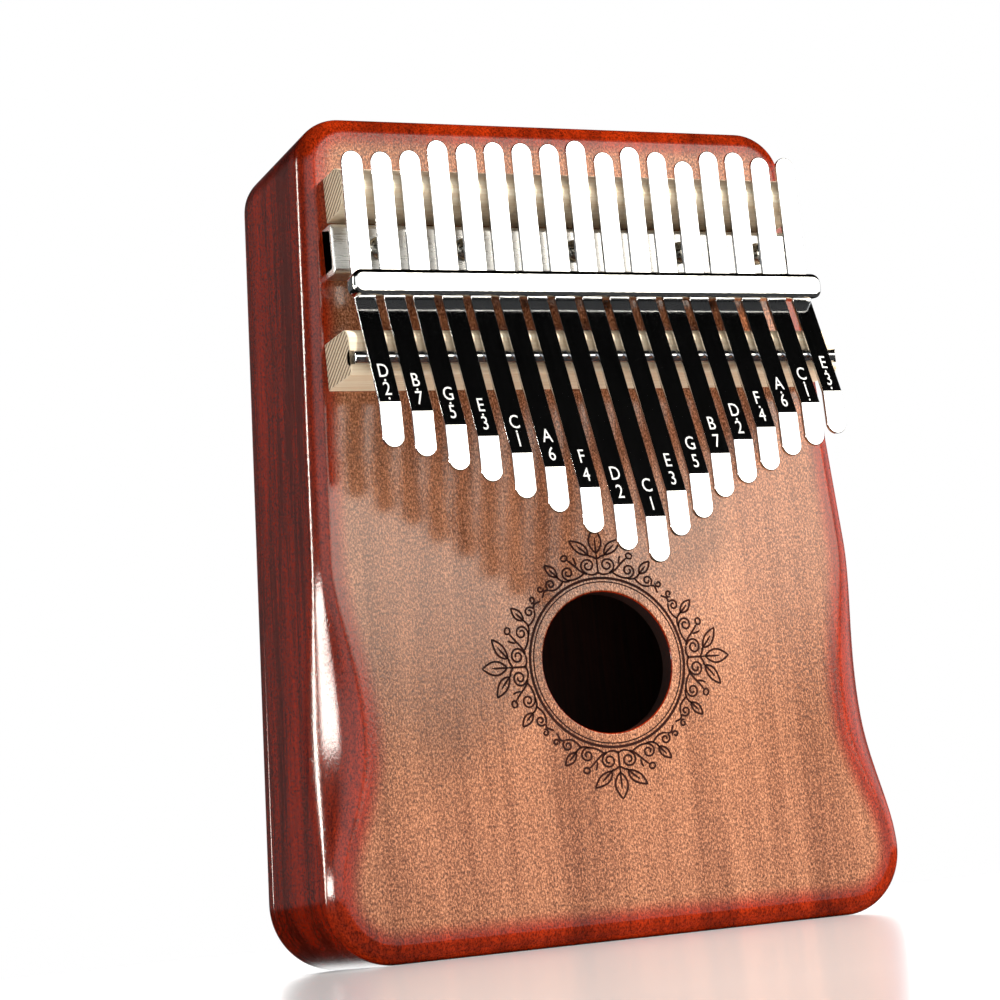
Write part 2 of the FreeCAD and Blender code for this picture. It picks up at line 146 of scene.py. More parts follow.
class ColourSettings(PropertyGroup):
    """Colours of the finishes."""

    face_light: colour("Face, light", "Light grain of the lacquered face", "#a96b49")
    face_dark: colour("Face, dark", "Dark grain of the lacquered face", "#7c4528")
    side_light: colour("Side, light", "Light grain of the toned sides", "#a32a06")
    side_dark: colour("Side, dark", "Dark grain of the toned sides", "#641604")
    flank_light: colour("Flank, light", "Light grain of the stained flanks and back", "#ae2c10")
    flank_dark: colour("Flank, dark", "Dark grain of the stained flanks and back", "#5c1206")
    figure: colour("Speckle", "Light specks of the mahogany", "#a06a4c")
    pore: colour("Pore", "Filler in the wood's pores", "#3c170c")
    raw_wood: colour("Raw wood", "Unlacquered wood inside the box", "#3a1a10")
    maple_light: colour("Maple, light", "Light wood of the bridges", "#fbedd2")
    maple_dark: colour("Maple, dark", "Dark grain of the bridges", "#e2c299")
    saw_line: colour("Saw line", "Saw marks on the bridges' ends", "#7a4e26")
    chrome: colour("Chrome", "Plating of bracket and bar", "#eceded")
    steel: colour("Steel", "Polished spring steel", "#dcdee1")
    zinc: colour("Zinc", "Plating of the screws", "#c3c1b8")
    burnt: colour("Burnt line", "Lines of the rosette", "#241410")
    frost: colour("Etching", "Etched note names", "#e4e2dc")
    spruce: colour("Spruce", "Block inside the box", "#d8bb86")


class StageSettings(PropertyGroup):
    """Floor, light and camera."""

    floor: colour("Floor", "Colour of the floor", "#f4f3f1")
    surround: FloatProperty(name="Surround", description="Brightness of the room", default=0.4)
    key: FloatProperty(name="Key light", description="Power of the key light", default=21.0)
    panel: FloatProperty(name="Panel", description="Brightness of the soft panel", default=5.6)
    strip: FloatProperty(name="Strip", description="Brightness of the edge strip", default=40.0)
    glow: FloatProperty(name="Scoop glow", description="Brightness of the low panel that the "
                        "left scoop mirrors", default=36.0)
    lens: FloatProperty(name="Lens", description="Focal length of the camera", default=87.79,
                        subtype="DISTANCE_CAMERA")


GROUPS = {"kalimba_box": BoxSettings, "kalimba_mechanism": MechanismSettings,
          "kalimba_colours": ColourSettings, "kalimba_stage": StageSettings}


# ------------------------------------------------------------------ surfaces
def in_frame(x, z, height):
    """Points at x and z, this high in front of the playing face."""
    x, z, height = np.broadcast_arrays(x, z, height)
    return np.stack([x, FACE_Y - height, z], -1).astype(float)


def grid_faces(rows, columns, close_rows=False, close_columns=False):
    """Quads of a grid of points numbered row by row. A closed direction joins its last
    line to its first."""
    r = np.arange(rows if close_rows else rows - 1)[:, None]
    c = np.arange(columns if close_columns else columns - 1)[None, :]
    r1, c1 = (r + 1) % rows, (c + 1) % columns
    corners = [r * columns + c, r * columns + c1, r1 * columns + c1, r1 * columns + c]
    return np.stack(corners, -1).reshape(-1, 4)


def make_piece(name, surfaces, materials, sharp=32.0):
    """One object from (points, faces, material number) surfaces. Shared points are merged,
    faces turned outwards, and only edges sharper than the angle stay crisp."""
    points, faces, numbers, start = [], [], [], 0
    for grid, polygons, number in surfaces:
        flat = np.asarray(grid, float).reshape(-1, 3)
        if isinstance(polygons, np.ndarray):
            faces += (polygons + start).tolist()
        else:
            faces += [[i + start for i in polygon] for polygon in polygons]
        points.append(flat)
        numbers += [number] * len(polygons)
        start += len(flat)
    mesh = bpy.data.meshes.new(name)
    mesh.from_pydata(np.concatenate(points).tolist(), [], faces)
    mesh.polygons.foreach_set("material_index", numbers)
    work = bmesh.new()
    work.from_mesh(mesh)
    bmesh.ops.remove_doubles(work, verts=work.verts, dist=1e-6)
    bmesh.ops.dissolve_degenerate(work, edges=work.edges, dist=1e-7)
    bmesh.ops.recalc_face_normals(work, faces=work.faces)
    work.to_mesh(mesh)
    work.free()
    if not mesh.polygons:
        raise RuntimeError(name + " came out empty")
    mesh.shade_smooth()
    mesh.set_sharp_from_angle(angle=math.radians(sharp))
    for material in materials:
        mesh.materials.append(material)
    piece = bpy.data.objects.new(name, mesh)
    bpy.context.scene.collection.objects.link(piece)
    return piece


def quarter(steps):
    """Sines and cosines of a quarter turn."""
    turn = np.linspace(0, math.pi / 2, steps + 1)
    return np.sin(turn), np.cos(turn)


def rounded_path(corners, radii, step, bend_steps):
    """A line through corners with an arc in each bend. Gives points and left-hand normals.
    Each arc starts a tangent length, radius times tan of half the turn, from its corner."""
    corners = np.asarray(corners, float)
    along = np.diff(corners, axis=0)
    along /= np.linalg.norm(along, axis=1)[:, None]
    left = np.stack([-along[:, 1], along[:, 0]], -1)
    points, normals, start = [], [], corners[0]
    for i in range(len(along)):
        last = i == len(along) - 1
        end = corners[i + 1]
        if not last:
            cross = along[i, 0] * along[i + 1, 1] - along[i, 1] * along[i + 1, 0]
            turn = math.atan2(cross, float(along[i] @ along[i + 1]))
            end = end - along[i] * radii[i] * math.tan(abs(turn) / 2)
        count = max(2, int(np.linalg.norm(end - start) / step) + 1)
        t = np.linspace(0, 1, count)[:, None]
        points.append(start + (end - start) * t)
        normals.append(np.repeat(left[i:i + 1], count, 0))
        if last:
            break
        side = math.copysign(1, turn)
        centre = end + left[i] * radii[i] * side
        turns = np.linspace(0, turn, bend_steps + 1)[1:]
        cos, sin = np.cos(turns)[:, None], np.sin(turns)[:, None]
        arm = left[i] * cos + np.array([-left[i, 1], left[i, 0]]) * sin
        points.append(centre - arm * radii[i] * side)
        normals.append(arm)
        start = points[-1][-1]
    points, normals = np.concatenate(points), np.concatenate(normals)
    keep = np.r_[True, np.linalg.norm(np.diff(points, axis=0), axis=1) > 1e-8]
    return points[keep], normals[keep]


def rounded_polygon(corners, bend_steps=6, guard=0.06 * MM):
    """A closed outline of (z, height, radius) corners, each turned on its radius. A guard
    point on each side of a bend keeps the flat next to it flat when shaded."""
    corners = np.asarray(corners, float)
    place, radius = corners[:, :2], corners[:, 2]
    coming = place - np.roll(place, 1, 0)
    going = np.roll(place, -1, 0) - place
    coming /= np.linalg.norm(coming, axis=1)[:, None]
    going /= np.linalg.norm(going, axis=1)[:, None]
    outline = []
    for p, r, a, b in zip(place, radius, coming, going):
        turn = math.atan2(a[0] * b[1] - a[1] * b[0], float(a @ b))
        if r == 0 or abs(turn) < 1e-3:
            outline.append(p[None])
            continue
        side = math.copysign(1, turn)
        tangent = r * math.tan(abs(turn) / 2)
        first = p - a * tangent
        centre = first + np.array([-a[1], a[0]]) * r * side
        turns = np.linspace(0, turn, bend_steps + 1)
        arm = first - centre
        cos, sin = np.cos(turns)[:, None], np.sin(turns)[:, None]
        arc = centre + arm * cos + np.array([-arm[1], arm[0]]) * sin
        outline += [(first - a * guard)[None], arc, (arc[-1] + b * guard)[None]]
    return np.concatenate(outline)


def drawn_along_x(name, outline, x0, x1, break_edge, materials, end_number=0, stretch=1):
    """An outline in (z, height) carried straight along x, with its end edges broken by a
    quarter round: the outline shrinks by b(1 - sin) while x moves by b(1 - cos)."""
    before, after = np.roll(outline, 1, 0), np.roll(outline, -1, 0)
    run = after - before
    run /= np.linalg.norm(run, axis=1)[:, None]
    area = np.sum(before[:, 0] * outline[:, 1] - outline[:, 0] * before[:, 1])
    outwards = np.stack([run[:, 1], -run[:, 0]], -1) * math.copysign(1, area)
    sin, cos = quarter(4)
    inset = np.r_[break_edge * (1 - sin), 0, np.zeros(stretch), 0, break_edge * (1 - sin[::-1])]
    inner = np.linspace(x0 + 1.4 * break_edge, x1 - 1.4 * break_edge, stretch + 2)
    x = np.r_[x0 + break_edge * (1 - cos), inner, x1 - break_edge * (1 - cos[::-1])]
    rings = outline[None] - outwards[None] * inset[:, None, None]
    grid = in_frame(x[:, None], rings[..., 0], rings[..., 1])
    count = len(outline)
    last = (len(x) - 1) * count
    caps = [list(range(count)), list(range(last, last + count))]
    sides = grid_faces(len(x), count, close_columns=True)
    return make_piece(name, [(grid, sides, 0), (grid, caps, end_number)], materials)


def turned(name, centres, profile, materials, recess=None):
    """Surfaces of revolution about axes square to the face: a profile of (radius, height)
    turned about each centre. A recess lowers the height by a function of x and z."""
    turn = np.linspace(0, 2 * math.pi, 49)[:-1]
    profile = np.asarray(profile, float)
    across = profile[:, None, 0] * np.cos(turn)
    up = profile[:, None, 0] * np.sin(turn)
    height = np.repeat(profile[:, None, 1], len(turn), 1)
    if recess is not None:
        height = height - recess(across, up, height)
    faces = grid_faces(len(profile), len(turn), close_columns=True)
    return make_piece(name, [(in_frame(across + x, up + z, height), faces, 0)
                             for x, z in centres], materials)


# ------------------------------------------------------------------ box
def box_outline(box):
    """The rounded trapezoid as points and outward directions. Moving a point against its
    direction by an inset gives the same outline, smaller all round."""
    taper = math.atan((box.bottom_width - box.top_width) / 2 / TOP_Z)
    radii = np.array([box.bottom_corner, box.top_corner, box.top_corner, box.bottom_corner])
    r = radii[:2]
    half = np.array([box.bottom_width, box.top_width]) / 2
    half += np.array([-1, 1]) * r * math.tan(taper) - r / math.cos(taper)
    corners = np.array([[half[0], r[0]], [half[1], TOP_Z - r[1]],
                        [-half[1], TOP_Z - r[1]], [-half[0], r[0]]])
    quarter_turn = math.pi / 2
    turns = [-quarter_turn, taper, quarter_turn, math.pi - taper, 3 * quarter_turn]
    points, directions = [], []
    for i in range(4):
        arc = np.linspace(turns[i], turns[i + 1], 21)
        around = np.stack([np.cos(arc), np.sin(arc)], -1)
        start = corners[i] + radii[i] * around[-1]
        end = corners[(i + 1) % 4] + radii[(i + 1) % 4] * around[-1]
        count = int(np.linalg.norm(end - start) / (1.4 * MM))
        t = np.linspace(0, 1, count)[1:-1, None]
        points += [corners[i] + radii[i] * around, start + (end - start) * t]
        directions += [around, np.repeat(around[-1:], len(t), 0)]
    return np.concatenate(points), np.concatenate(directions)


def scoop_share(box, z, directions):
    """1 at the deepest place of a scoop and 0 at its ends: the square of 1 - t squared."""
    t = np.where(z > box.scoop_height, (z - box.scoop_height) / box.scoop_above,
                 (box.scoop_height - z) / box.scoop_below)
    on_side = np.abs(directions[:, 0]) > 0.9
    return np.where(on_side, (1 - np.clip(t, 0, 1) ** 2) ** 2, 0)


def body_shell(box, lacquered, raw, charred):
    """Face, sides and cavity as one closed ring surface. Going round the outline is one
    direction. The other goes from the hole's edge over the face, round-over, side, rim,
    inner wall and inner face, and back through the hole."""
    outline, directions = box_outline(box)
    depth_of_seam = SEAM_Y - FACE_Y
    share = scoop_share(box, outline[:, 1], directions)
    on_face = box.edge_radius + box.scoop_on_face * share
    on_side = box.edge_radius + box.scoop_on_side * share

    def inset_line(inset, depth):
        inset = np.broadcast_to(inset, share.shape)[:, None]
        return in_frame(*(outline - inset * directions).T, -depth)

    polar = np.arctan2(outline[:, 1] - box.hole_height, outline[:, 0])

    def hole_line(radius, depth):
        return in_frame(radius * np.cos(polar), box.hole_height + radius * np.sin(polar), -depth)

    sin, cos = quarter(4)
    soft = 0.35 * MM
    lines = [hole_line(box.hole_radius + soft * (1 - c), soft * (1 - s))
             for s, c in zip(sin, cos)]
    hole_rim, edge = hole_line(box.hole_radius + 1.3 * soft, 0), inset_line(on_face + 0.1 * MM, 0)
    lines += [hole_rim + (edge - hole_rim) * (1 - u ** 2) for u in np.linspace(1, 0, 13)]
    sin, cos = quarter(14)
    lines += [inset_line(on_face * (1 - s), on_side * (1 - c)) for s, c in zip(sin, cos)]
    lines += [inset_line(0, on_side + (depth_of_seam - SEAM_EDGE - on_side) * t)
              for t in (0.01, 0.3, 0.6, 0.99, 1.0)]
    lines.append(inset_line(SEAM_EDGE, depth_of_seam))
    outside = len(lines)
    lines += [inset_line(box.wall, depth)
              for depth in np.linspace(depth_of_seam, box.face_thickness, 6)]
    inner, back = lines[-1], hole_line(box.hole_radius, box.face_thickness)
    lines += [inner + (back - inner) * t for t in (0.25, 0.5, 0.75, 1.0)]
    lines.append(hole_line(box.hole_radius, box.face_thickness / 2))
    grid = np.stack(lines)
    count = grid.shape[1]
    faces = grid_faces(*grid.shape[:2], close_rows=True, close_columns=True)
    cut, neck = (outside - 1) * count, (len(lines) - 2) * count
    piece = make_piece("mahogany_shell", [(grid, faces[:cut], 0), (grid, faces[cut:neck], 1),
                                          (grid, faces[neck:], 2)], [lacquered, raw, charred])
    measure_from_edge(piece, edge)
    return piece


def measure_from_edge(piece, edge):
    """Keeps, at each point of the face, its distance from the nearest place of the face's
    edge, which is where the stain starts to fade. Every other point has none."""
    mesh = piece.data
    points = np.empty(len(mesh.vertices) * 3)
    mesh.vertices.foreach_get("co", points)
    points = points.reshape(-1, 3)
    apart = np.linalg.norm(points[:, None, ::2] - edge[None, :, ::2], axis=2).min(1)
    distance = np.where(points[:, 1] < FACE_Y + 0.01 * MM, apart, 0)
    mesh.attributes.new("from_edge", "FLOAT", "POINT").data.foreach_set("value", distance)


def back_plate(box, lacquered, raw):
    """A slab of the same outline whose back edge follows inset b(1 - sin)."""
    outline, directions = box_outline(box)
    front, back = SEAM_Y - FACE_Y, BACK_Y - FACE_Y
    sin, cos = quarter(8)
    r, middle = box.back_radius, 9 * MM
    profile = [(middle, front), (SEAM_EDGE, front), (0, front + SEAM_EDGE), (0, back - 1.05 * r)]
    profile += [(r * (1 - c), back - r * (1 - s)) for s, c in zip(sin, cos)]
    profile += [(1.05 * r, back), (middle, back)]
    grid = np.stack([in_frame(*(outline - inset * directions).T, -depth)
                     for inset, depth in profile])
    rows, count = grid.shape[:2]
    faces = grid_faces(rows, count, close_columns=True)
    inside, outside = list(range(count)), list(range((rows - 1) * count, rows * count))
    return make_piece("mahogany_back", [(grid, faces, 0), (grid, [outside], 0),
                                        (grid, [inside], 1)], [lacquered, raw])


# ------------------------------------------------------------------ rosette
def bezier(points, count=16):
    """Points of a Bezier curve of any order, as a weighted sum of its control points."""
    points = np.asarray(points, float)
    order = len(points) - 1
    t = np.linspace(0, 1, count)[:, None]
    powers = np.arange(order + 1)
    weights = [math.comb(order, int(k)) for k in powers]
    return (np.array(weights) * t ** powers * (1 - t) ** (order - powers)) @ points


def scroll(centre, radius, start, turns, count=30):
    """A spiral that winds in from its radius to a quarter of it."""
    t = np.linspace(0, 1, count)
    reach = radius * (1 - 0.76 * t)
    turn = math.radians(start) + 2 * math.pi * turns * t
    return np.stack([centre[0] + reach * np.cos(turn), centre[1] + reach * np.sin(turn)], -1)


def leaf(base, tip, width, count=14):
    """The two sides of a pointed leaf: the axis plus and minus a sine, and its vein."""
    base, tip = np.array(base, float), np.array(tip, float)
    t = np.linspace(0, 1, count)[:, None]
    axis = base + (tip - base) * t
    across = np.array([-(tip - base)[1], (tip - base)[0]]) / np.linalg.norm(tip - base)
    bulge = width / 2 * np.sin(np.pi * t ** 0.85) * across
    return [axis + bulge, axis - bulge, base + (tip - base) * np.linspace(-0.12, 0.62, 5)[:, None]]


def berry(centre, radius):
    turn = np.linspace(0, 2 * math.pi, 15)
    return np.stack([centre[0] + radius * np.cos(turn), centre[1] + radius * np.sin(turn)], -1)


def garland():
    """Half of one quarter of the wreath, in millimetres: along the ring and out from the
    middle of the hole. It is mirrored and turned four times."""
    lines = [bezier([(0.0, 19.6), (0.0, 21.5), (0.0, 24.4)], 6)]
    lines += leaf((0, 24.3), (0, 30.2), 2.3)
    lines += [bezier([(0.0, 20.2), (0.5, 19.5), (1.6, 19.4), (2.6, 19.9)]),
              scroll((2.25, 21.75), 1.75, -75, 1.55)]
    lines += [bezier([(0.1, 23.0), (0.7, 23.6), (1.7, 24.0)], 6)]
    lines += leaf((1.7, 24.0), (4.7, 28.1), 1.9)
    lines += [bezier([(2.6, 19.9), (4.3, 20.2), (5.0, 22.2), (6.3, 24.1)]),
              bezier([(4.9, 22.3), (4.7, 23.4), (5.0, 24.3)], 6),
              berry((6.75, 24.75), 0.62)]
    lines += [bezier([(3.6, 20.2), (5.4, 19.3), (7.0, 19.4), (8.3, 20.2)]),
              scroll((7.25, 21.45), 1.5, -60, 1.4)]
    lines += [bezier([(7.2, 19.75), (9.2, 19.6), (9.9, 21.0), (9.9, 22.0)], 10)]
    lines += leaf((9.9, 21.8), (10.9, 25.6), 1.6)
    lines += [bezier([(9.0, 20.4), (11.2, 19.3), (12.4, 19.7), (13.3, 20.7)], 12),
              scroll((12.15, 21.35), 1.15, -20, 1.25),
              bezier([(13.3, 20.7), (14.2, 21.9), (14.9, 20.6), (15.7, 20.6)], 10),
              scroll((14.6, 22.3), 0.8, 200, 1.1, 18)]
    return lines


def ribbon(line, width, wrap=False):
    """A raised line: a flat strip with rounded ends whose half width is w times the root
    of 1 - t squared over the last w of its length."""
    run = np.roll(line, -1, 0) - np.roll(line, 1, 0) if wrap else np.gradient(line, axis=0)
    run /= np.linalg.norm(run, axis=1)[:, None]
    side = np.stack([-run[:, 1], run[:, 0]], -1)
    half = width / 2
    reach = np.full(len(line), half)
    if not wrap:
        travel = np.r_[0, np.cumsum(np.linalg.norm(np.diff(line, axis=0), axis=1))]
        end = np.minimum(travel, travel[-1] - travel)
        reach = half * np.sqrt(1 - np.clip(1 - end / half, 0, 0.9) ** 2)
    offset = np.array([-1, -1, 1, 1])[None, :, None] * reach[:, None, None] * side[:, None, :]
    flat = line[:, None, :] + offset
    height = np.broadcast_to([-0.03, 0.05, 0.05, -0.03], flat.shape[:2])
    return flat, height


def rosette(box, burnt):
    """Double ring and wreath, burnt round the sound hole. Every line is a ribbon just
    proud of the face; distances along the ring become angles about the hole."""
    surfaces = []

    def add(line, width, wrap=False):
        flat, height = ribbon(line, width, wrap)
        grid = in_frame(flat[..., 0] * MM, flat[..., 1] * MM + box.hole_height, height * MM)
        faces = grid_faces(*grid.shape[:2], close_rows=wrap, close_columns=True)
        surfaces.append((grid, faces, 0))
        if not wrap:
            last = 4 * (len(grid) - 1)
            surfaces.append((grid, [[0, 1, 2, 3], [last, last + 1, last + 2, last + 3]], 0))

    turn = np.linspace(0, 2 * math.pi, 181)[:-1]
    circle = np.stack([np.cos(turn), np.sin(turn)], -1)
    hole = box.hole_radius / MM
    for beyond_hole, width in ((3.05, 0.62), (2.2, 0.28)):
        add(circle * (hole + beyond_hole), width, True)
    wreath_radius, stroke = 20.5, 0.46
    for line in garland():
        for mirror in (1, -1):
            if mirror < 0 and np.abs(line[:, 0]).max() < 1e-6:
                continue
            spread = mirror * line[:, 0] / wreath_radius
            for quarter_number in range(4):
                around = spread + quarter_number * math.pi / 2
                add(np.stack([np.sin(around), np.cos(around)], -1) * line[:, 1:], stroke)
    return make_piece("burnt_rosette", surfaces, [burnt])


# ------------------------------------------------------------------ bridges and clamp
def span(node):
    """Lowest and highest x, z and height of a node of the frame."""
    low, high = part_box(node)
    return (low.x, high.x), (low.z, high.z), (FACE_Y - high.y, FACE_Y - low.y)


def backstop(maple, sawn):
    """A bar under the tails whose top is half of a circle."""
    (x0, x1), (z0, z1), (low, top) = span("backstop_bridge")
    r = (z1 - z0) / 2
    turn = np.linspace(0, math.pi, 31)
    dome = np.stack([(z0 + z1) / 2 + r * np.cos(turn), top - r + r * np.sin(turn)], -1)
    foot = np.array([[z0, low], [z1, low]])
    outline = np.concatenate([foot, dome])
    return drawn_along_x("maple_backstop", outline, x0, x1, 0.25 * MM, [maple, sawn], 1)


def front_bridge(maple, sawn, leg_angle):
    """A bar with a round groove for the rod, its lips rounded on both outer sides."""
    (x0, x1), (z0, z1), (low, lip) = span("front_bridge")
    _, rod_z, rod_h = span("bridge_rod")
    rod, centre, bed = (rod_z[1] - rod_z[0]) / 2, sum(rod_z) / 2, sum(rod_h) / 2
    groove = rod + 0.02 * MM
    low_r, high_r = (centre - groove - z0) * 0.7, (z1 - centre - groove) * 0.6
    back_lip = lip - (z1 - high_r - centre) * math.tan(leg_angle) / 2
    outer = rounded_polygon([(z0, low, 0), (z1, low, 0), (z1, back_lip, high_r * 0.95),
                             (centre + groove + 0.1 * MM, lip, 0),
                             (centre + groove, lip, 0)], 8)
    turn = np.linspace(0, math.pi, 15)
    bowl = np.stack([centre + groove * np.cos(turn), bed - groove * np.sin(turn)], -1)
    inner = rounded_polygon([(z0, low, 0), (centre - groove, lip, 0), (z0, lip, low_r)], 8)
    outline = np.concatenate([outer, bowl, inner[1:]])
    return drawn_along_x("maple_front_bridge", outline, x0, x1, 0.25 * MM, [maple, sawn], 1)


def bridge_rod(steel):
    (x0, x1), (z0, z1), (low, top) = span("bridge_rod")
    turn = np.linspace(0, 2 * math.pi, 49)[:-1]
    r = (z1 - z0) / 2
    circle = np.stack([(z0 + z1) / 2 + r * np.cos(turn), (low + top) / 2 + r * np.sin(turn)], -1)
    return drawn_along_x("steel_bridge_rod", circle, x0, x1, 0.3 * MM, [steel])


def base_bracket(mechanism, chrome):
    """A shallow channel bent from sheet: outer bends on their radius, inner ones tighter."""
    (x0, x1), (z0, z1), (low, top) = span("base_bracket")
    t, r = mechanism.sheet, mechanism.sheet_bend
    outline = rounded_polygon([(z0, low, 0.2 * MM), (z0 + t, low, 0.2 * MM),
                               (z0 + t, top - t, 0.4 * MM), (z1 - t, top - t, 0.4 * MM),
                               (z1 - t, low, 0.2 * MM), (z1, low, 0.2 * MM),
                               (z1, top, r), (z0, top, r)])
    return drawn_along_x("chrome_bracket", outline, x0, x1, 0.3 * MM, [chrome], stretch=10)


def pressure_bar(mechanism, chrome):
    """A rounded rectangle seen from the front. Its rim turns over on the edge radius, and
    its underside is part of a cylinder along x."""
    (x0, x1), (z0, z1), (low, top) = span("pressure_bar")
    r, edge, belly = mechanism.bar_corner, mechanism.bar_edge, mechanism.belly_radius
    bend, run = 9, 61    # points round a corner and along a straight edge
    arcs = np.linspace(0, math.pi / 2, bend)
    half_x, half_z = (x1 - x0) / 2 - r, (z1 - z0) / 2 - r
    straight = np.linspace(-half_x, half_x, run)
    turns = np.r_[arcs, np.full(run - 2, math.pi / 2), arcs + math.pi / 2, arcs + math.pi,
                  np.full(run - 2, 1.5 * math.pi), arcs + 1.5 * math.pi]
    cx = np.r_[np.full(bend, half_x), straight[-2:0:-1], np.full(2 * bend, -half_x),
               straight[1:-1], np.full(bend, half_x)]
    cz = np.where(np.sin(turns) > 1e-9, half_z, -half_z)
    cz[0], cz[-1] = half_z, -half_z
    cz[2 * bend + run - 3] = half_z    # the second corner ends where the sine is 0
    sin, cos = quarter(6)
    profile = [(r, 0.0, 0.0), (edge + 0.08 * MM, 0.0, 1.0)]
    profile += [(edge * (1 - s), edge * (1 - c), 1.0) for s, c in zip(sin, cos)]
    rows = [(cx + (r - inset) * np.cos(turns), cz * keep + (r - inset) * np.sin(turns), top - drop)
            for inset, drop, keep in profile]
    middle_z = (z0 + z1) / 2
    under = [(0.0, 1.0), (0.12 * MM, 1.0), (r / 2, 1.0), (r, 1.0), (r, 0.5), (r, 0.0)]
    for inset, keep in under:
        x = cx + (r - inset) * np.cos(turns)
        z = cz * keep + (r - inset) * np.sin(turns)
        rise = belly - np.sqrt(belly ** 2 - z ** 2)
        rows.append((x, z, low + rise))
    grid = np.stack([in_frame(x, z + middle_z, height) for x, z, height in rows])
    faces = grid_faces(*grid.shape[:2], close_columns=True)
    return make_piece("chrome_pressure_bar", [(grid, faces, 0)], [chrome])


def bracket_screws(zinc):
    """Pan-head screws: a domed head on a shank, with a cross recess that fades out."""
    _, (z0, z1), (bottom, top) = span("bracket_screws")
    seat = span("base_bracket")[2][1]
    head, shank, taper = (z1 - z0) / 2, 1.3 * MM, 2 * MM
    sin, cos = quarter(10)
    dome = [(head * s, seat + (top - seat) * (0.35 + 0.65 * c)) for s, c in zip(sin, cos)]
    rows = [(1e-7, top)] + dome[1:] + [(head, seat + 0.05 * MM), (head * 0.98, seat),
                                       (shank, seat), (shank, bottom + taper),
                                       (1e-7, bottom)]

    def cross(x, z, height):
        arm = 0.34 * MM
        inside = np.minimum(np.abs(x), np.abs(z)) < arm
        reach = np.maximum(np.abs(x), np.abs(z)) < 1.5 * MM
        return np.where(inside & reach & (height > seat + 0.3 * MM), 0.6 * MM, 0)

    centres = [(place * tine_pitch(), (z0 + z1) / 2) for place in SCREW_PLACES]
    return turned("zinc_bracket_screws", centres, rows, [zinc], cross)


# ------------------------------------------------------------------ tines
def tine_line(mechanism, index):
    """Middle line of one tine from tip to tail, in (z, height): tip, kink, leg, bend under
    the bar and tail. Leg and tail meet where the leg's line has the tail's height."""
    tongue, root = span("tine_tongue_%02d" % (index + 1)), span("tine_root_%02d" % (index + 1))
    tip_z, tail_z = tongue[1][0], root[1][1]
    leg, tip, tail = (math.tan(a) for a in
                      (mechanism.leg_angle, mechanism.tip_angle, mechanism.tail_angle))
    hinge_h = FACE_Y - HINGE_Y
    kink_z = tip_z + mechanism.tip_length

    def leg_height(z):
        return hinge_h + (HINGE_Z - z) * leg

    half_turn = (mechanism.leg_angle + mechanism.tail_angle) / 2
    lean = (mechanism.leg_angle - mechanism.tail_angle) / 2
    bend_z = BAR_Z - mechanism.saddle_radius * math.sin(lean) / math.cos(half_turn)
    corners = [(tip_z, leg_height(kink_z) + mechanism.tip_length * tip),
               (kink_z, leg_height(kink_z)), (bend_z, leg_height(bend_z)),
               (tail_z, leg_height(bend_z) + (tail_z - bend_z) * tail)]
    return rounded_path(corners, [mechanism.kink_radius, mechanism.saddle_radius], MM, 8)


def tine(mechanism, index, steel):
    """A strip with round ends. In plan, a point is the nearest place of the middle line
    plus a distance in one of all directions; the strip is then laid along that line."""
    line, normals = tine_line(mechanism, index)
    travel = np.r_[0, np.cumsum(np.linalg.norm(np.diff(line, axis=0), axis=1))]
    r, half, edge = mechanism.tine_width / 2, mechanism.tine_thickness / 2, mechanism.tine_edge
    total = travel[-1]
    inside = travel[(travel > r * 1.02) & (travel < total - r * 1.02)]
    steps = 15    # points round each end
    arc = np.linspace(-math.pi / 2, math.pi / 2, steps)
    spine = np.r_[np.full(steps, total - r), inside[::-1], np.full(steps, r), inside]
    turn = np.r_[arc, np.full(len(inside), math.pi / 2), arc + math.pi,
                 np.full(len(inside), -math.pi / 2)]
    sin, cos = quarter(3)
    rim = [(r - edge + edge * s, half - edge + edge * c) for s, c in zip(sin, cos)]
    profile = [(0, half), (r - edge - 0.07 * MM, half)] + rim
    profile += [(d, -e) for d, e in profile[::-1]]
    distance, lift = np.array(profile).T
    side = -np.sin(turn)[None] * distance[:, None]
    place = spine[None] + np.cos(turn)[None] * distance[:, None]
    lift = np.broadcast_to(lift[:, None], side.shape)
    z = np.interp(place, travel, line[:, 0])
    h = np.interp(place, travel, line[:, 1])
    nz = np.interp(place, travel, normals[:, 0])
    nh = np.interp(place, travel, normals[:, 1])
    middle = (index - MIDDLE) * tine_pitch()
    grid = in_frame(middle + side, z + nz * lift, h + nh * lift)
    name = "tine_%02d" % (index + 1)
    faces = grid_faces(*grid.shape[:2], close_columns=True)
    piece = make_piece(name, [(grid, faces, 0)], [steel], 40.0)
    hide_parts("tine_root_%02d" % (index + 1), "tine_tongue_%02d" % (index + 1))
    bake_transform(piece)
    return piece


def tine_pitch():
    """Distance from one tine to the next, averaged over all of them."""
    first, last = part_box("tine_root_01")[0].x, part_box("tine_root_%02d" % TINE_COUNT)[0].x
    return (last - first) / (TINE_COUNT - 1)


def glyph_mesh(letters, height):
    """Flat letters as solid prisms, made from a text curve at the origin."""
    curve = bpy.data.curves.new("letters", "FONT")
    curve.body, curve.size, curve.align_x, curve.align_y = letters, height, "CENTER", "CENTER"
    curve.extrude = 0.015 * MM
    curve.resolution_u = 3
    holder = bpy.data.objects.new("letters", curve)
    bpy.context.scene.collection.objects.link(holder)
    bpy.context.view_layer.update()
    mesh = bpy.data.meshes.new_from_object(holder.evaluated_get(
        bpy.context.evaluated_depsgraph_get()))
    bpy.data.objects.remove(holder)
    return mesh


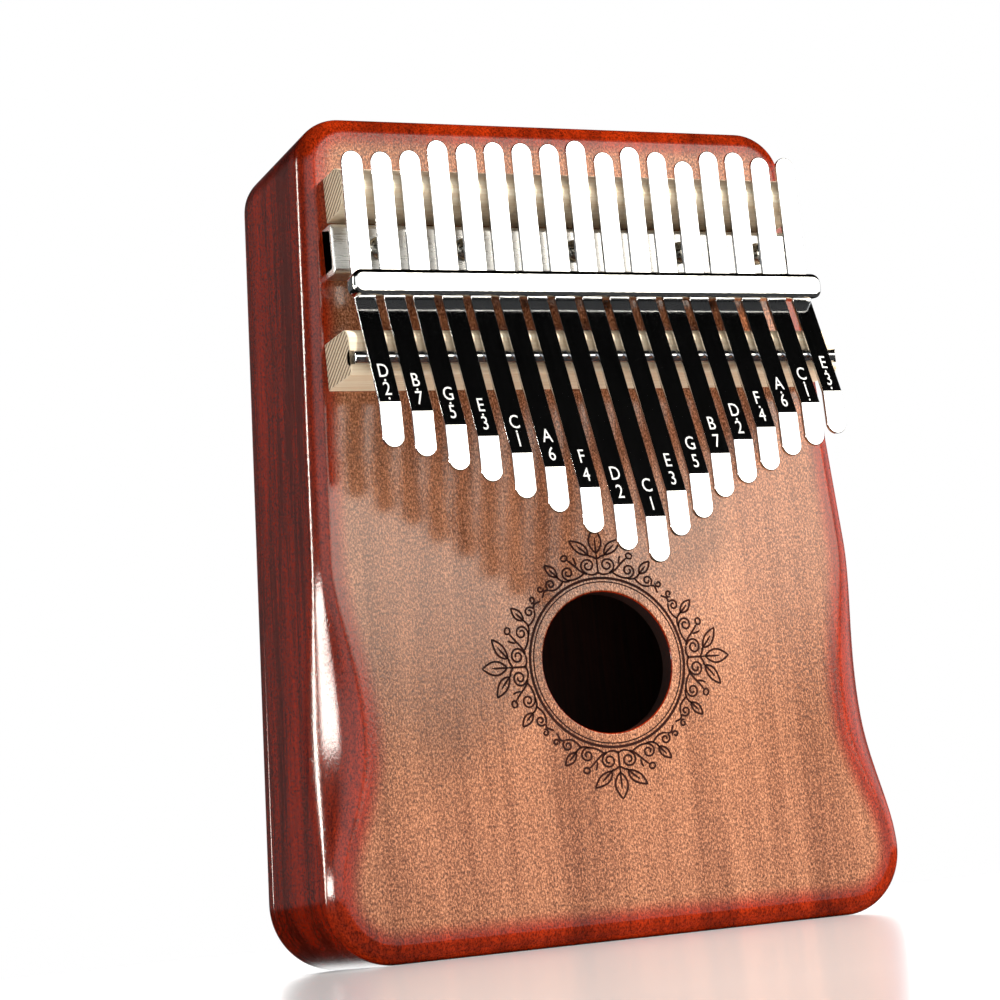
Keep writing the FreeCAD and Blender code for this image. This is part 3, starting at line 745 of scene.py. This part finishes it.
def note_mark(mechanism, index, frost):
    """Note name over scale number, with a dot for each octave, on the leg near the kink.
    How far up the leg each of them stands is in millimetres."""
    offset = index - MIDDLE
    rank = 2 * offset if offset >= 0 else -2 * offset - 1
    octave, note = divmod(rank, len(SCALE_NOTES))
    tongue = "tongue_%02d" % (index + 1)
    kink_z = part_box("tine_" + tongue)[0].z + mechanism.tip_length
    leg = mechanism.leg_angle
    tall, narrow = 1.15, 0.85
    note_up, number_up, dot_up, dot_step = 7.4, 2.9, 6.3, 4.5
    parts = [(SCALE_NOTES[note], note_up), (str(note + 1), number_up)]
    parts += [(".", dot_up - dot_step * i) for i in range(octave)]
    work = bmesh.new()
    for letters, up in parts:
        mesh = glyph_mesh(letters, mechanism.mark_height)
        points = np.empty(len(mesh.vertices) * 3)
        mesh.vertices.foreach_get("co", points)
        points = points.reshape(-1, 3)
        along = points[:, 1] * tall + up * MM
        top = mechanism.tine_thickness / 2 + points[:, 2] + 0.005 * MM
        start_h = FACE_Y - HINGE_Y + (HINGE_Z - kink_z) * math.tan(leg)
        z = kink_z + along * math.cos(leg) + top * math.sin(leg)
        h = start_h - along * math.sin(leg) + top * math.cos(leg)
        placed = in_frame(offset * tine_pitch() + points[:, 0] * narrow, z, h)
        mesh.vertices.foreach_set("co", placed.ravel())
        work.from_mesh(mesh)
        bpy.data.meshes.remove(mesh)
    bmesh.ops.remove_doubles(work, verts=work.verts, dist=1e-6)
    bmesh.ops.recalc_face_normals(work, faces=work.faces)
    mesh = bpy.data.meshes.new("note_mark_%02d" % (index + 1))
    work.to_mesh(mesh)
    work.free()
    mesh.materials.clear()
    mesh.materials.append(frost)
    piece = bpy.data.objects.new(mesh.name, mesh)
    bpy.context.scene.collection.objects.link(piece)
    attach(piece, tongue)
    return piece


# ------------------------------------------------------------------ materials
def add_node(tree, kind, inputs=None, **settings):
    """Adds a shader node, sets it up and gives each input a value or another node's output.
    The kind is named without its common prefix, and a colour may come without its alpha."""
    made = tree.nodes.new("ShaderNode" + kind)
    for name, value in settings.items():
        setattr(made, name, value)
    for name, value in (inputs or {}).items():
        socket = made.inputs[name]
        if isinstance(value, bpy.types.NodeSocket):
            tree.links.new(value, socket)
        elif socket.type == "RGBA":
            socket.default_value = (*value[:3], 1.0)
        else:
            socket.default_value = value
    return made


def new_material(name):
    """A named material and its empty node tree, or no tree if it was there already."""
    material = bpy.data.materials.get(name)
    if material is not None:
        return material, None
    material = bpy.data.materials.new(name)
    material.use_nodes = True
    material.node_tree.nodes.clear()
    return material, material.node_tree


def per_mm(*sizes):
    """Scale that makes one feature as long as each of these millimetres."""
    return tuple(1 / (size * MM) for size in sizes)


def darker(shade, share):
    return tuple(share * part for part in shade)


def lacquered_mahogany(colours):
    """Mahogany, stained redder on round-over and sides, under satin lacquer: even upright
    grain with short dark pores, and a clear film that gives soft broad reflections."""
    material, tree = new_material("lacquered_mahogany")
    if tree is None:
        return material
    place = add_node(tree, "TexCoord").outputs["Object"]
    # Growth lines are 1.3 mm wide and 42 mm long, the ribbon figure 10 mm by 190 mm.
    lines = add_node(tree, "Mapping", {"Vector": place, "Scale": per_mm(1.3, 1.3, 42)})
    lines = add_node(tree, "TexNoise", {"Vector": lines.outputs[0], "Scale": 1.0, "Detail": 7.0,
                                        "Roughness": 0.62, "Distortion": 0.3})
    lines = add_node(tree, "MapRange",
                     {"Value": lines.outputs["Fac"], "From Min": 0.3, "From Max": 0.7})
    figure = add_node(tree, "Mapping", {"Vector": place, "Scale": per_mm(10, 10, 190)})
    figure = add_node(tree, "TexNoise", {"Vector": figure.outputs[0], "Scale": 1.0, "Detail": 2.0})
    figure = add_node(tree, "MapRange",
                      {"Value": figure.outputs["Fac"], "From Min": 0.35, "From Max": 0.65})
    amount = add_node(tree, "Math", {0: lines.outputs[0], 1: figure.outputs[0]}, operation="ADD")
    amount = add_node(tree, "MapRange",
                      {"Value": amount.outputs[0], "From Min": 0.3, "From Max": 1.7})
    face = add_node(tree, "Mix", {0: amount.outputs[0], 6: colours.face_dark,
                                  7: colours.face_light}, data_type="RGBA")
    side = add_node(tree, "Mix", {0: amount.outputs[0], 6: colours.side_dark,
                                  7: colours.side_light}, data_type="RGBA")
    # Cut fibres are specks of 0.1 mm; they are drawn 0.36 mm wide so that they show.
    speck = add_node(tree, "Mapping", {"Vector": place, "Scale": per_mm(0.36, 0.36, 0.6)})
    speck = add_node(tree, "TexNoise",
                     {"Vector": speck.outputs[0], "Scale": 1.0, "Detail": 2.0, "Roughness": 0.7})
    light = add_node(tree, "MapRange", {"Value": speck.outputs["Fac"], "From Min": 0.5,
                                        "From Max": 0.66, "To Max": 0.8})
    face = add_node(tree, "Mix", {0: light.outputs[0], 6: face.outputs[2], 7: colours.figure},
                    data_type="RGBA", blend_type="SCREEN")
    # The stain covers round-over and sides, fades over the first 4.5 mm of the face, and
    # is most even on the flanks, where less was rubbed off.
    reach = add_node(tree, "Attribute", attribute_name="from_edge")
    over = add_node(tree, "MapRange", {"Value": reach.outputs["Fac"], "From Min": 4.5 * MM,
                                       "From Max": 0.2 * MM}, interpolation_type="SMOOTHSTEP")
    wood = add_node(tree, "Mix",
                    {0: over.outputs[0], 6: face.outputs[2], 7: side.outputs[2]}, data_type="RGBA")
    normal = add_node(tree, "NewGeometry").outputs["Normal"]
    facing = add_node(tree, "SeparateXYZ", {"Vector": normal})
    flank = add_node(tree, "MapRange",
                     {"Value": facing.outputs["Y"], "From Min": -0.5, "From Max": -0.05,
                      "To Max": 0.9}, interpolation_type="SMOOTHSTEP")
    stain = add_node(tree, "Mix", {0: amount.outputs[0], 6: colours.flank_dark,
                                   7: colours.flank_light}, data_type="RGBA")
    wood = add_node(tree, "Mix", {0: flank.outputs[0], 6: wood.outputs[2], 7: stain.outputs[2]},
                    data_type="RGBA")
    grit = add_node(tree, "MapRange", {"Value": speck.outputs["Fac"], "From Min": 0.34,
                                       "From Max": 0.6, "To Min": 0.32, "To Max": 1.2})
    wood = add_node(tree, "Mix", {0: 1.0, 6: wood.outputs[2], 7: grit.outputs[0]},
                    data_type="RGBA", blend_type="MULTIPLY")
    # Pores are 0.1 to 0.2 mm wide; they are drawn at twice that so that they show.
    cell = add_node(tree, "Mapping", {"Vector": place, "Scale": per_mm(0.5, 0.5, 1.5)})
    cell = add_node(tree, "TexVoronoi", {"Vector": cell.outputs[0], "Scale": 1.0})
    pore = add_node(tree, "MapRange",
                    {"Value": cell.outputs["Distance"], "From Min": 0.34, "From Max": 0.16})
    here = add_node(tree, "MapRange", {"Value": speck.outputs["Fac"], "From Min": 0.56,
                                       "From Max": 0.42, "To Max": 0.6})
    pore = add_node(tree, "Math", {0: pore.outputs[0], 1: here.outputs[0]}, operation="MULTIPLY")
    wood = add_node(tree, "Mix",
                    {0: pore.outputs[0], 6: wood.outputs[2], 7: colours.pore}, data_type="RGBA")
    dent = add_node(tree, "Bump",
                    {"Height": pore.outputs[0], "Distance": -0.03 * MM, "Strength": 0.5})
    # The film follows the grain a little, in ripples of about 0.5 mm.
    film = add_node(tree, "Mapping", {"Vector": place, "Scale": per_mm(0.5, 0.5, 0.8)})
    film = add_node(tree, "TexNoise", {"Vector": film.outputs[0], "Scale": 1.0})
    film = add_node(tree, "Bump", {"Height": film.outputs["Fac"], "Distance": 0.025 * MM,
                                   "Strength": 0.8, "Normal": dent.outputs[0]})
    # The lacquer has nearly the wood's own index, so only the film itself mirrors.
    rough = add_node(tree, "MapRange", {"Value": lines.outputs[0], "To Min": 0.42, "To Max": 0.55})
    shader = add_node(tree, "BsdfPrincipled",
                      {"Base Color": wood.outputs[2], "Roughness": rough.outputs[0], "IOR": 1.5,
                       "Specular IOR Level": 0.0, "Coat Weight": 1.0, "Coat Roughness": 0.14,
                       "Coat IOR": 1.5, "Normal": dent.outputs[0], "Coat Normal": film.outputs[0]})
    add_node(tree, "OutputMaterial", {"Surface": shader.outputs[0]})
    return material


def raw_mahogany(colours):
    """Sawn, unfinished mahogany inside the box: dull, darker in the pores."""
    material, tree = new_material("raw_mahogany")
    if tree is None:
        return material
    place = add_node(tree, "TexCoord").outputs["Object"]
    # Saw-torn grain, 0.9 mm wide.
    grain = add_node(tree, "Mapping", {"Vector": place, "Scale": per_mm(0.9, 0.9, 26)})
    grain = add_node(tree, "TexNoise",
                     {"Vector": grain.outputs[0], "Scale": 1.0, "Detail": 6.0, "Roughness": 0.6})
    grain = add_node(tree, "MapRange",
                     {"Value": grain.outputs["Fac"], "From Min": 0.3, "From Max": 0.7})
    wood = add_node(tree, "Mix",
                    {0: grain.outputs[0], 6: colours.burnt, 7: colours.raw_wood}, data_type="RGBA")
    dent = add_node(tree, "Bump",
                    {"Height": grain.outputs[0], "Distance": 0.05 * MM, "Strength": 0.5})
    shader = add_node(tree, "BsdfPrincipled",
                      {"Base Color": wood.outputs[2], "Roughness": 0.85, "IOR": 1.5,
                       "Specular IOR Level": 0.25, "Normal": dent.outputs[0]})
    add_node(tree, "OutputMaterial", {"Surface": shader.outputs[0]})
    return material


def planed_maple(colours):
    """Planed maple: pale cream with a faint fine grain along the bar."""
    material, tree = new_material("planed_maple")
    if tree is None:
        return material
    place = add_node(tree, "TexCoord").outputs["Object"]
    # Growth lines 0.7 mm apart run along the bar; rays are flecks of 1.8 by 0.35 mm.
    grain = add_node(tree, "Mapping", {"Vector": place, "Scale": per_mm(24, 0.7, 0.7)})
    grain = add_node(tree, "TexNoise",
                     {"Vector": grain.outputs[0], "Scale": 1.0, "Detail": 6.0, "Roughness": 0.65})
    grain = add_node(tree, "MapRange",
                     {"Value": grain.outputs["Fac"], "From Min": 0.32, "From Max": 0.72})
    fleck = add_node(tree, "Mapping", {"Vector": place, "Scale": per_mm(1.8, 0.35, 0.35)})
    fleck = add_node(tree, "TexNoise",
                     {"Vector": fleck.outputs[0], "Scale": 1.0, "Detail": 3.0, "Roughness": 0.6})
    fleck = add_node(tree, "MapRange", {"Value": fleck.outputs["Fac"], "From Min": 0.55,
                                        "From Max": 0.75, "To Max": 0.5})
    wood = add_node(tree, "Mix", {0: grain.outputs[0], 6: colours.maple_light,
                                  7: colours.maple_dark}, data_type="RGBA")
    wood = add_node(tree, "Mix", {0: fleck.outputs[0], 6: wood.outputs[2], 7: colours.maple_dark},
                    data_type="RGBA")
    dent = add_node(tree, "Bump",
                    {"Height": fleck.outputs[0], "Distance": 0.03 * MM, "Strength": 0.4})
    shader = add_node(tree, "BsdfPrincipled",
                      {"Base Color": wood.outputs[2], "Roughness": 0.55, "IOR": 1.5,
                       "Specular IOR Level": 0.35, "Normal": dent.outputs[0]})
    add_node(tree, "OutputMaterial", {"Surface": shader.outputs[0]})
    return material


def sawn_maple(colours):
    """Sawn end grain of maple: the same cream, crossed by slanting brown saw lines."""
    material, tree = new_material("sawn_maple_ends")
    if tree is None:
        return material
    place = add_node(tree, "TexCoord").outputs["Object"]
    # Saw lines 0.25 mm apart are drawn about 1.2 mm apart so that they show.
    saw = add_node(tree, "Mapping", {"Vector": place, "Scale": per_mm(1, 1, 1),
                                     "Rotation": (math.radians(28), 0, 0)})
    saw = add_node(tree, "TexWave",
                   {"Vector": saw.outputs[0], "Scale": 0.27, "Distortion": 0.7, "Detail": 2.0,
                    "Detail Scale": 1.4}, wave_type="BANDS", bands_direction="Z")
    saw = add_node(tree, "MapRange",
                   {"Value": saw.outputs["Fac"], "From Min": 0.5, "From Max": 0.85, "To Max": 0.9})
    speck = add_node(tree, "Mapping", {"Vector": place, "Scale": per_mm(0.4, 0.4, 0.4)})
    speck = add_node(tree, "TexNoise",
                     {"Vector": speck.outputs[0], "Scale": 1.0, "Detail": 3.0, "Roughness": 0.6})
    speck = add_node(tree, "MapRange",
                     {"Value": speck.outputs["Fac"], "From Min": 0.35, "From Max": 0.7})
    wood = add_node(tree, "Mix", {0: speck.outputs[0], 6: colours.maple_light,
                                  7: colours.maple_dark}, data_type="RGBA")
    wood = add_node(tree, "Mix",
                    {0: saw.outputs[0], 6: wood.outputs[2], 7: colours.saw_line}, data_type="RGBA")
    dent = add_node(tree, "Bump",
                    {"Height": saw.outputs[0], "Distance": -0.06 * MM, "Strength": 0.8})
    shader = add_node(tree, "BsdfPrincipled",
                      {"Base Color": wood.outputs[2], "Roughness": 0.8, "IOR": 1.5,
                       "Specular IOR Level": 0.25, "Normal": dent.outputs[0]})
    add_node(tree, "OutputMaterial", {"Surface": shader.outputs[0]})
    return material


def metal(name, shade, grain, weak, rough, relief):
    """A metal whose tint, roughness and relief all follow one noise of this grain in
    millimetres: tint falls to a weak share of its shade, roughness spans two values."""
    material, tree = new_material(name)
    if tree is None:
        return material
    place = add_node(tree, "TexCoord").outputs["Object"]
    marks = add_node(tree, "Mapping", {"Vector": place, "Scale": per_mm(*grain)})
    marks = add_node(tree, "TexNoise",
                     {"Vector": marks.outputs[0], "Scale": 1.0, "Detail": 4.0, "Roughness": 0.65})
    marks = add_node(tree, "MapRange",
                     {"Value": marks.outputs["Fac"], "From Min": 0.3, "From Max": 0.7})
    tint = add_node(tree, "Mix",
                    {0: marks.outputs[0], 6: shade, 7: darker(shade, weak)}, data_type="RGBA")
    spread = add_node(tree, "MapRange",
                      {"Value": marks.outputs[0], "To Min": rough[0], "To Max": rough[1]})
    dent = add_node(tree, "Bump",
                    {"Height": marks.outputs[0], "Distance": relief * MM, "Strength": 0.35})
    shader = add_node(tree, "BsdfPrincipled",
                      {"Base Color": tint.outputs[2], "Metallic": 1.0,
                       "Roughness": spread.outputs[0], "Normal": dent.outputs[0]})
    add_node(tree, "OutputMaterial", {"Surface": shader.outputs[0]})
    return material


def chrome_plate(colours):
    """Bright chrome on steel: a near mirror whose sheet ripples every 7 mm or so."""
    return metal("chrome_plated_steel", colours.chrome, (7, 3, 3), 0.93, (0.05, 0.1), 0.1)


def satin_chrome(colours):
    """Chrome on rolled sheet that wasn't polished: satin, with rolling lines along it."""
    return metal("satin_chromed_sheet", colours.chrome, (6, 0.3, 0.3), 0.9, (0.24, 0.34), 0.02)


def spring_steel(colours):
    """Polished spring steel: mirror-like with hair-fine polishing lines along the strip.
    Lines of a few hundredths of a millimetre are drawn 0.12 mm wide so that they show."""
    return metal("polished_spring_steel", colours.steel, (0.12, 9, 9), 0.94, (0.07, 0.15), 0.004)


def ground_rod(colours):
    """Ground steel rod: bright, with the stone's rings drawn 0.15 mm wide."""
    return metal("ground_steel_rod", colours.steel, (0.15, 4, 4), 0.85, (0.1, 0.22), 0.006)


def zinc_plate(colours):
    """Zinc plating: duller and warmer than chrome, mottled in spangles of 0.5 mm."""
    return metal("zinc_plated_steel", colours.zinc, (0.5, 0.5, 0.5), 0.75, (0.14, 0.3), 0.02)


def matt(name, light, dark, grain, rough, relief):
    """A dull surface whose colour and relief follow one noise of this grain in
    millimetres, from the light shade to the dark one."""
    material, tree = new_material(name)
    if tree is None:
        return material
    place = add_node(tree, "TexCoord").outputs["Object"]
    marks = add_node(tree, "Mapping", {"Vector": place, "Scale": per_mm(*grain)})
    marks = add_node(tree, "TexNoise",
                     {"Vector": marks.outputs[0], "Scale": 1.0, "Detail": 4.0, "Roughness": 0.65})
    marks = add_node(tree, "MapRange",
                     {"Value": marks.outputs["Fac"], "From Min": 0.33, "From Max": 0.7})
    tint = add_node(tree, "Mix", {0: marks.outputs[0], 6: light, 7: dark}, data_type="RGBA")
    dent = add_node(tree, "Bump",
                    {"Height": marks.outputs[0], "Distance": relief * MM, "Strength": 0.45})
    shader = add_node(tree, "BsdfPrincipled",
                      {"Base Color": tint.outputs[2], "Roughness": rough, "IOR": 1.5,
                       "Specular IOR Level": 0.2, "Normal": dent.outputs[0]})
    add_node(tree, "OutputMaterial", {"Surface": shader.outputs[0]})
    return material


def burnt_wood(colours):
    """Wood charred by a hot point: matt, almost black, browner where the heat was less."""
    return matt("burnt_wood", colours.burnt, colours.pore, (0.5, 0.5, 1.2), 0.9, 0.02)


def etched_steel(colours):
    """Note names etched by laser: a pale dull frost with a grit of 0.2 mm."""
    return matt("laser_frosted_steel", colours.frost, darker(colours.frost, 0.7),
                (0.2, 0.2, 0.2), 0.7, 0.01)


def spruce(colours):
    """Rough spruce: straight yearly lines 1.1 mm apart, hidden behind the face."""
    return matt("rough_spruce", colours.spruce, darker(colours.spruce, 0.7), (30, 1.1, 1.1),
                0.85, 0.05)


def paint_node(node, material):
    """Gives a node of the frame its material, in its object's own slots."""
    piece = frame["nodes"][node]
    if not piece.material_slots:
        piece.data.materials.append(None)
    for slot in piece.material_slots:
        slot.link = "OBJECT"
        slot.material = material


def stand_for(piece, node, body="box"):
    """The piece rides on the box and shows instead of the node."""
    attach(piece, body)
    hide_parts(node)


# ------------------------------------------------------------------ operators
class KALIMBA_OT_box(Operator):
    """Build the lacquered mahogany shell and its back plate"""

    bl_idname = "kalimba.box"
    bl_label = "Box"

    def execute(self, context):
        box, colours = context.scene.kalimba_box, context.scene.kalimba_colours
        lacquered, raw = lacquered_mahogany(colours), raw_mahogany(colours)
        shell = body_shell(box, lacquered, raw, burnt_wood(colours))
        stand_for(shell, "body_shell")
        stand_for(back_plate(box, lacquered, raw), "back_plate")
        paint_node("inner_brace", spruce(colours))
        return {"FINISHED"}


class KALIMBA_OT_rosette(Operator):
    """Burn the double ring and the wreath round the sound hole"""

    bl_idname = "kalimba.rosette"
    bl_label = "Rosette"

    def execute(self, context):
        burnt = burnt_wood(context.scene.kalimba_colours)
        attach(rosette(context.scene.kalimba_box, burnt), "box")
        return {"FINISHED"}


class KALIMBA_OT_bridges(Operator):
    """Build the two maple bridges and the steel rod"""

    bl_idname = "kalimba.bridges"
    bl_label = "Bridges"

    def execute(self, context):
        colours, mechanism = context.scene.kalimba_colours, context.scene.kalimba_mechanism
        maple, sawn = planed_maple(colours), sawn_maple(colours)
        stand_for(backstop(maple, sawn), "backstop_bridge")
        stand_for(front_bridge(maple, sawn, mechanism.leg_angle), "front_bridge")
        stand_for(bridge_rod(ground_rod(colours)), "bridge_rod")
        return {"FINISHED"}


class KALIMBA_OT_clamp(Operator):
    """Build the chrome bracket, the pressure bar and their screws"""

    bl_idname = "kalimba.clamp"
    bl_label = "Clamp"

    def execute(self, context):
        colours, mechanism = context.scene.kalimba_colours, context.scene.kalimba_mechanism
        chrome, zinc = chrome_plate(colours), zinc_plate(colours)
        bracket = base_bracket(mechanism, satin_chrome(colours))
        stand_for(bracket, "base_bracket")
        stand_for(pressure_bar(mechanism, chrome), "pressure_bar")
        stand_for(bracket_screws(zinc), "bracket_screws")
        paint_node("pressure_bar_screws", zinc)
        return {"FINISHED"}


class KALIMBA_OT_tines(Operator):
    """Build the seventeen spring steel tines"""

    bl_idname = "kalimba.tines"
    bl_label = "Tines"

    def execute(self, context):
        steel = spring_steel(context.scene.kalimba_colours)
        for index in range(TINE_COUNT):
            tine(context.scene.kalimba_mechanism, index, steel)
        return {"FINISHED"}


class KALIMBA_OT_note_marks(Operator):
    """Etch note names and scale numbers on the legs of the tines"""

    bl_idname = "kalimba.note_marks"
    bl_label = "Note marks"

    def execute(self, context):
        frost = etched_steel(context.scene.kalimba_colours)
        for index in range(TINE_COUNT):
            note_mark(context.scene.kalimba_mechanism, index, frost)
        return {"FINISHED"}


def looking(place, aim):
    """A placement at a place whose -Z axis looks at the aim."""
    away = Vector(place) - Vector(aim)
    return Matrix.Translation(place) @ away.to_track_quat("Z", "Y").to_matrix().to_4x4()


def stage_card(name, centre, towards, width, height, strength, tint):
    """A glowing panel that only reflections see. It fades towards its edges."""
    half = np.array([[-width, -height], [width, -height], [width, height], [-width, height]]) / 2
    mesh = bpy.data.meshes.new(name)
    mesh.from_pydata([(x, y, 0.0) for x, y in half], [], [(0, 1, 2, 3)])
    card = bpy.data.objects.new(name, mesh)
    card.matrix_world = looking(centre, towards)
    material = bpy.data.materials.new(name)
    material.use_nodes = True
    tree = material.node_tree
    tree.nodes.remove(tree.nodes["Principled BSDF"])
    place = add_node(tree, "TexCoord").outputs["Object"]
    parts = add_node(tree, "SeparateXYZ", {"Vector": place})
    edges = []
    for axis, size in (("X", width), ("Y", height)):
        away_from_middle = add_node(tree, "Math",
                                    {0: parts.outputs[axis]}, operation="ABSOLUTE").outputs[0]
        edges.append(add_node(tree, "MapRange", {"Value": away_from_middle, "From Min": size * 0.5,
                                                 "From Max": size * 0.2},
                              interpolation_type="SMOOTHSTEP").outputs["Result"])
    fade = add_node(tree, "Math", {0: edges[0], 1: edges[1]}, operation="MULTIPLY")
    power = add_node(tree, "Math",
                     {0: fade.outputs[0], 1: strength}, operation="MULTIPLY").outputs[0]
    glow = add_node(tree, "Emission", {"Color": (*tint, 1), "Strength": power})
    tree.links.new(glow.outputs[0], tree.nodes["Material Output"].inputs["Surface"])
    mesh.materials.append(material)
    bpy.context.scene.collection.objects.link(card)
    card.visible_camera = card.visible_diffuse = card.visible_shadow = False
    return card


def studio_world(surround):
    """A white room. Reflections see it bright towards the front right and straight behind
    the instrument, dark above head height and dark underfoot."""
    world = bpy.data.worlds.new("studio")
    bpy.context.scene.world = world
    world.use_nodes = True
    tree = world.node_tree
    path = add_node(tree, "LightPath")
    direction = add_node(tree, "TexCoord").outputs["Generated"]
    up = add_node(tree, "SeparateXYZ", {"Vector": direction}).outputs["Z"]
    ceiling = add_node(tree, "MapRange",
                       {"Value": up, "From Min": 0.36, "From Max": 0.46, "To Min": 1.4,
                        "To Max": 0.0}, interpolation_type="SMOOTHSTEP")
    front = add_node(tree, "VectorMath",
                     {0: direction, 1: (0.41, -0.91, 0.0)}, operation="DOT_PRODUCT")
    lit = add_node(tree, "MapRange",
                   {"Value": front.outputs["Value"], "From Min": -0.15, "From Max": 0.45,
                    "To Min": 0.07, "To Max": 1.0}, interpolation_type="SMOOTHSTEP")
    walls = add_node(tree, "Math",
                     {0: ceiling.outputs[0], 1: lit.outputs[0]}, operation="MULTIPLY")
    underfoot = add_node(tree, "MapRange", {"Value": up, "From Min": -0.02, "From Max": 0.0,
                                            "To Min": 0.04, "To Max": 1.0})
    walls = add_node(tree, "Math",
                     {0: walls.outputs[0], 1: underfoot.outputs[0]}, operation="MULTIPLY")
    behind = add_node(tree, "VectorMath",
                      {0: direction, 1: (0.41, 0.91, 0.0)}, operation="DOT_PRODUCT")
    behind = add_node(tree, "MapRange",
                      {"Value": behind.outputs["Value"], "From Min": 0.93, "From Max": 0.965})
    mirrored = add_node(tree, "Mix", {0: behind.outputs[0], 2: walls.outputs[0], 3: 1.5})
    seen = add_node(tree, "Mix", {0: path.outputs["Is Glossy Ray"], 2: surround,
                                  3: mirrored.outputs[0]}).outputs[0]
    strength = add_node(tree, "Mix",
                        {0: path.outputs["Is Camera Ray"], 2: seen, 3: 1.0}).outputs[0]
    background = tree.nodes["Background"]
    background.inputs["Color"].default_value = (1, 1, 1, 1)
    tree.links.new(strength, background.inputs["Strength"])


class KALIMBA_OT_stage(Operator):
    """Set up the floor, the lights and the camera"""

    bl_idname = "kalimba.stage"
    bl_label = "Stage"

    def execute(self, context):
        settings = context.scene.kalimba_stage
        scene = context.scene
        mesh = bpy.data.meshes.new("floor")
        mesh.from_pydata([(-6, -6, 0), (6, -6, 0), (6, 6, 0), (-6, 6, 0)], [], [(0, 1, 2, 3)])
        floor = bpy.data.objects.new("floor", mesh)
        scene.collection.objects.link(floor)
        material, tree = new_material("matt_white_board")
        if tree is not None:
            shader = add_node(tree, "BsdfPrincipled",
                              {"Base Color": settings.floor, "Roughness": 0.14, "IOR": 1.5})
            add_node(tree, "OutputMaterial", {"Surface": shader.outputs[0]})
        mesh.materials.append(material)
        floor.visible_glossy = False

        studio_world(settings.surround)
        key = bpy.data.lights.new("key", "AREA")
        key.shape, key.size, key.energy = "DISK", 0.16, settings.key
        lamp = bpy.data.objects.new("key", key)
        lamp.matrix_world = looking((0.62, -0.5, 0.72), (0, 0, 0.09))
        lamp.visible_glossy = False
        scene.collection.objects.link(lamp)
        stage_card("soft_panel", (0.85, -1.6, 0.52), (0, 0, 0.1), 2.0, 0.8, settings.panel,
                   (1.0, 0.93, 0.82))
        stage_card("edge_strip", (-0.62, 0.3, 0.22), (-0.06, 0, 0.09), 0.1, 0.6, settings.strip,
                   (1.0, 0.95, 0.85))
        stage_card("scoop_glow", (-0.65, -0.09, 0.09), (-0.06, 0, 0.05), 0.62, 0.13,
                   settings.glow, (1.0, 0.93, 0.86))

        camera = bpy.data.cameras.new("camera")
        camera.lens, camera.sensor_width = settings.lens, 36.0
        camera.clip_start, camera.clip_end = 0.01, 50.0
        right = (0.915449, -0.388784, -0.103920)
        down = (-0.027076, 0.198141, -0.979800)
        ahead = (0.401521, 0.899771, 0.170861)
        place = (-0.23666, -0.481452 + FACE_Y, 0.006)
        rows = [[right[i], -down[i], -ahead[i], place[i]] for i in range(3)] + [[0, 0, 0, 1]]
        holder = bpy.data.objects.new("camera", camera)
        holder.matrix_world = Matrix(rows)
        scene.collection.objects.link(holder)
        scene.camera = holder
        scene.view_settings.view_transform = "Standard"
        scene.view_settings.look = "None"
        return {"FINISHED"}


OPERATORS = (KALIMBA_OT_box, KALIMBA_OT_rosette, KALIMBA_OT_bridges, KALIMBA_OT_clamp,
             KALIMBA_OT_tines, KALIMBA_OT_note_marks, KALIMBA_OT_stage)


class KALIMBA_PT_build(Panel):
    """Lists the kalimba's pieces in the order in which they are built"""

    bl_idname = "KALIMBA_PT_build"
    bl_label = "Kalimba"
    bl_space_type = "VIEW_3D"
    bl_region_type = "UI"
    bl_category = "Kalimba"

    def draw(self, context):
        for group in GROUPS:
            column = self.layout.box().column()
            for name in GROUPS[group].__annotations__:
                column.prop(getattr(context.scene, group), name)
        for operator in OPERATORS:
            self.layout.operator(operator.bl_idname)


CLASSES = (*GROUPS.values(), *OPERATORS, KALIMBA_PT_build)


def register():
    for item in CLASSES:
        bpy.utils.register_class(item)
    for name, group in GROUPS.items():
        setattr(bpy.types.Scene, name, PointerProperty(type=group))


def unregister():
    for name in GROUPS:
        delattr(bpy.types.Scene, name)
    for item in reversed(CLASSES):
        bpy.utils.unregister_class(item)


def main():
    """Builds everything in order."""
    register()
    for operator in OPERATORS:
        group, name = operator.bl_idname.split(".")
        getattr(getattr(bpy.ops, group), name)()


if __name__ == "__main__":
    main()
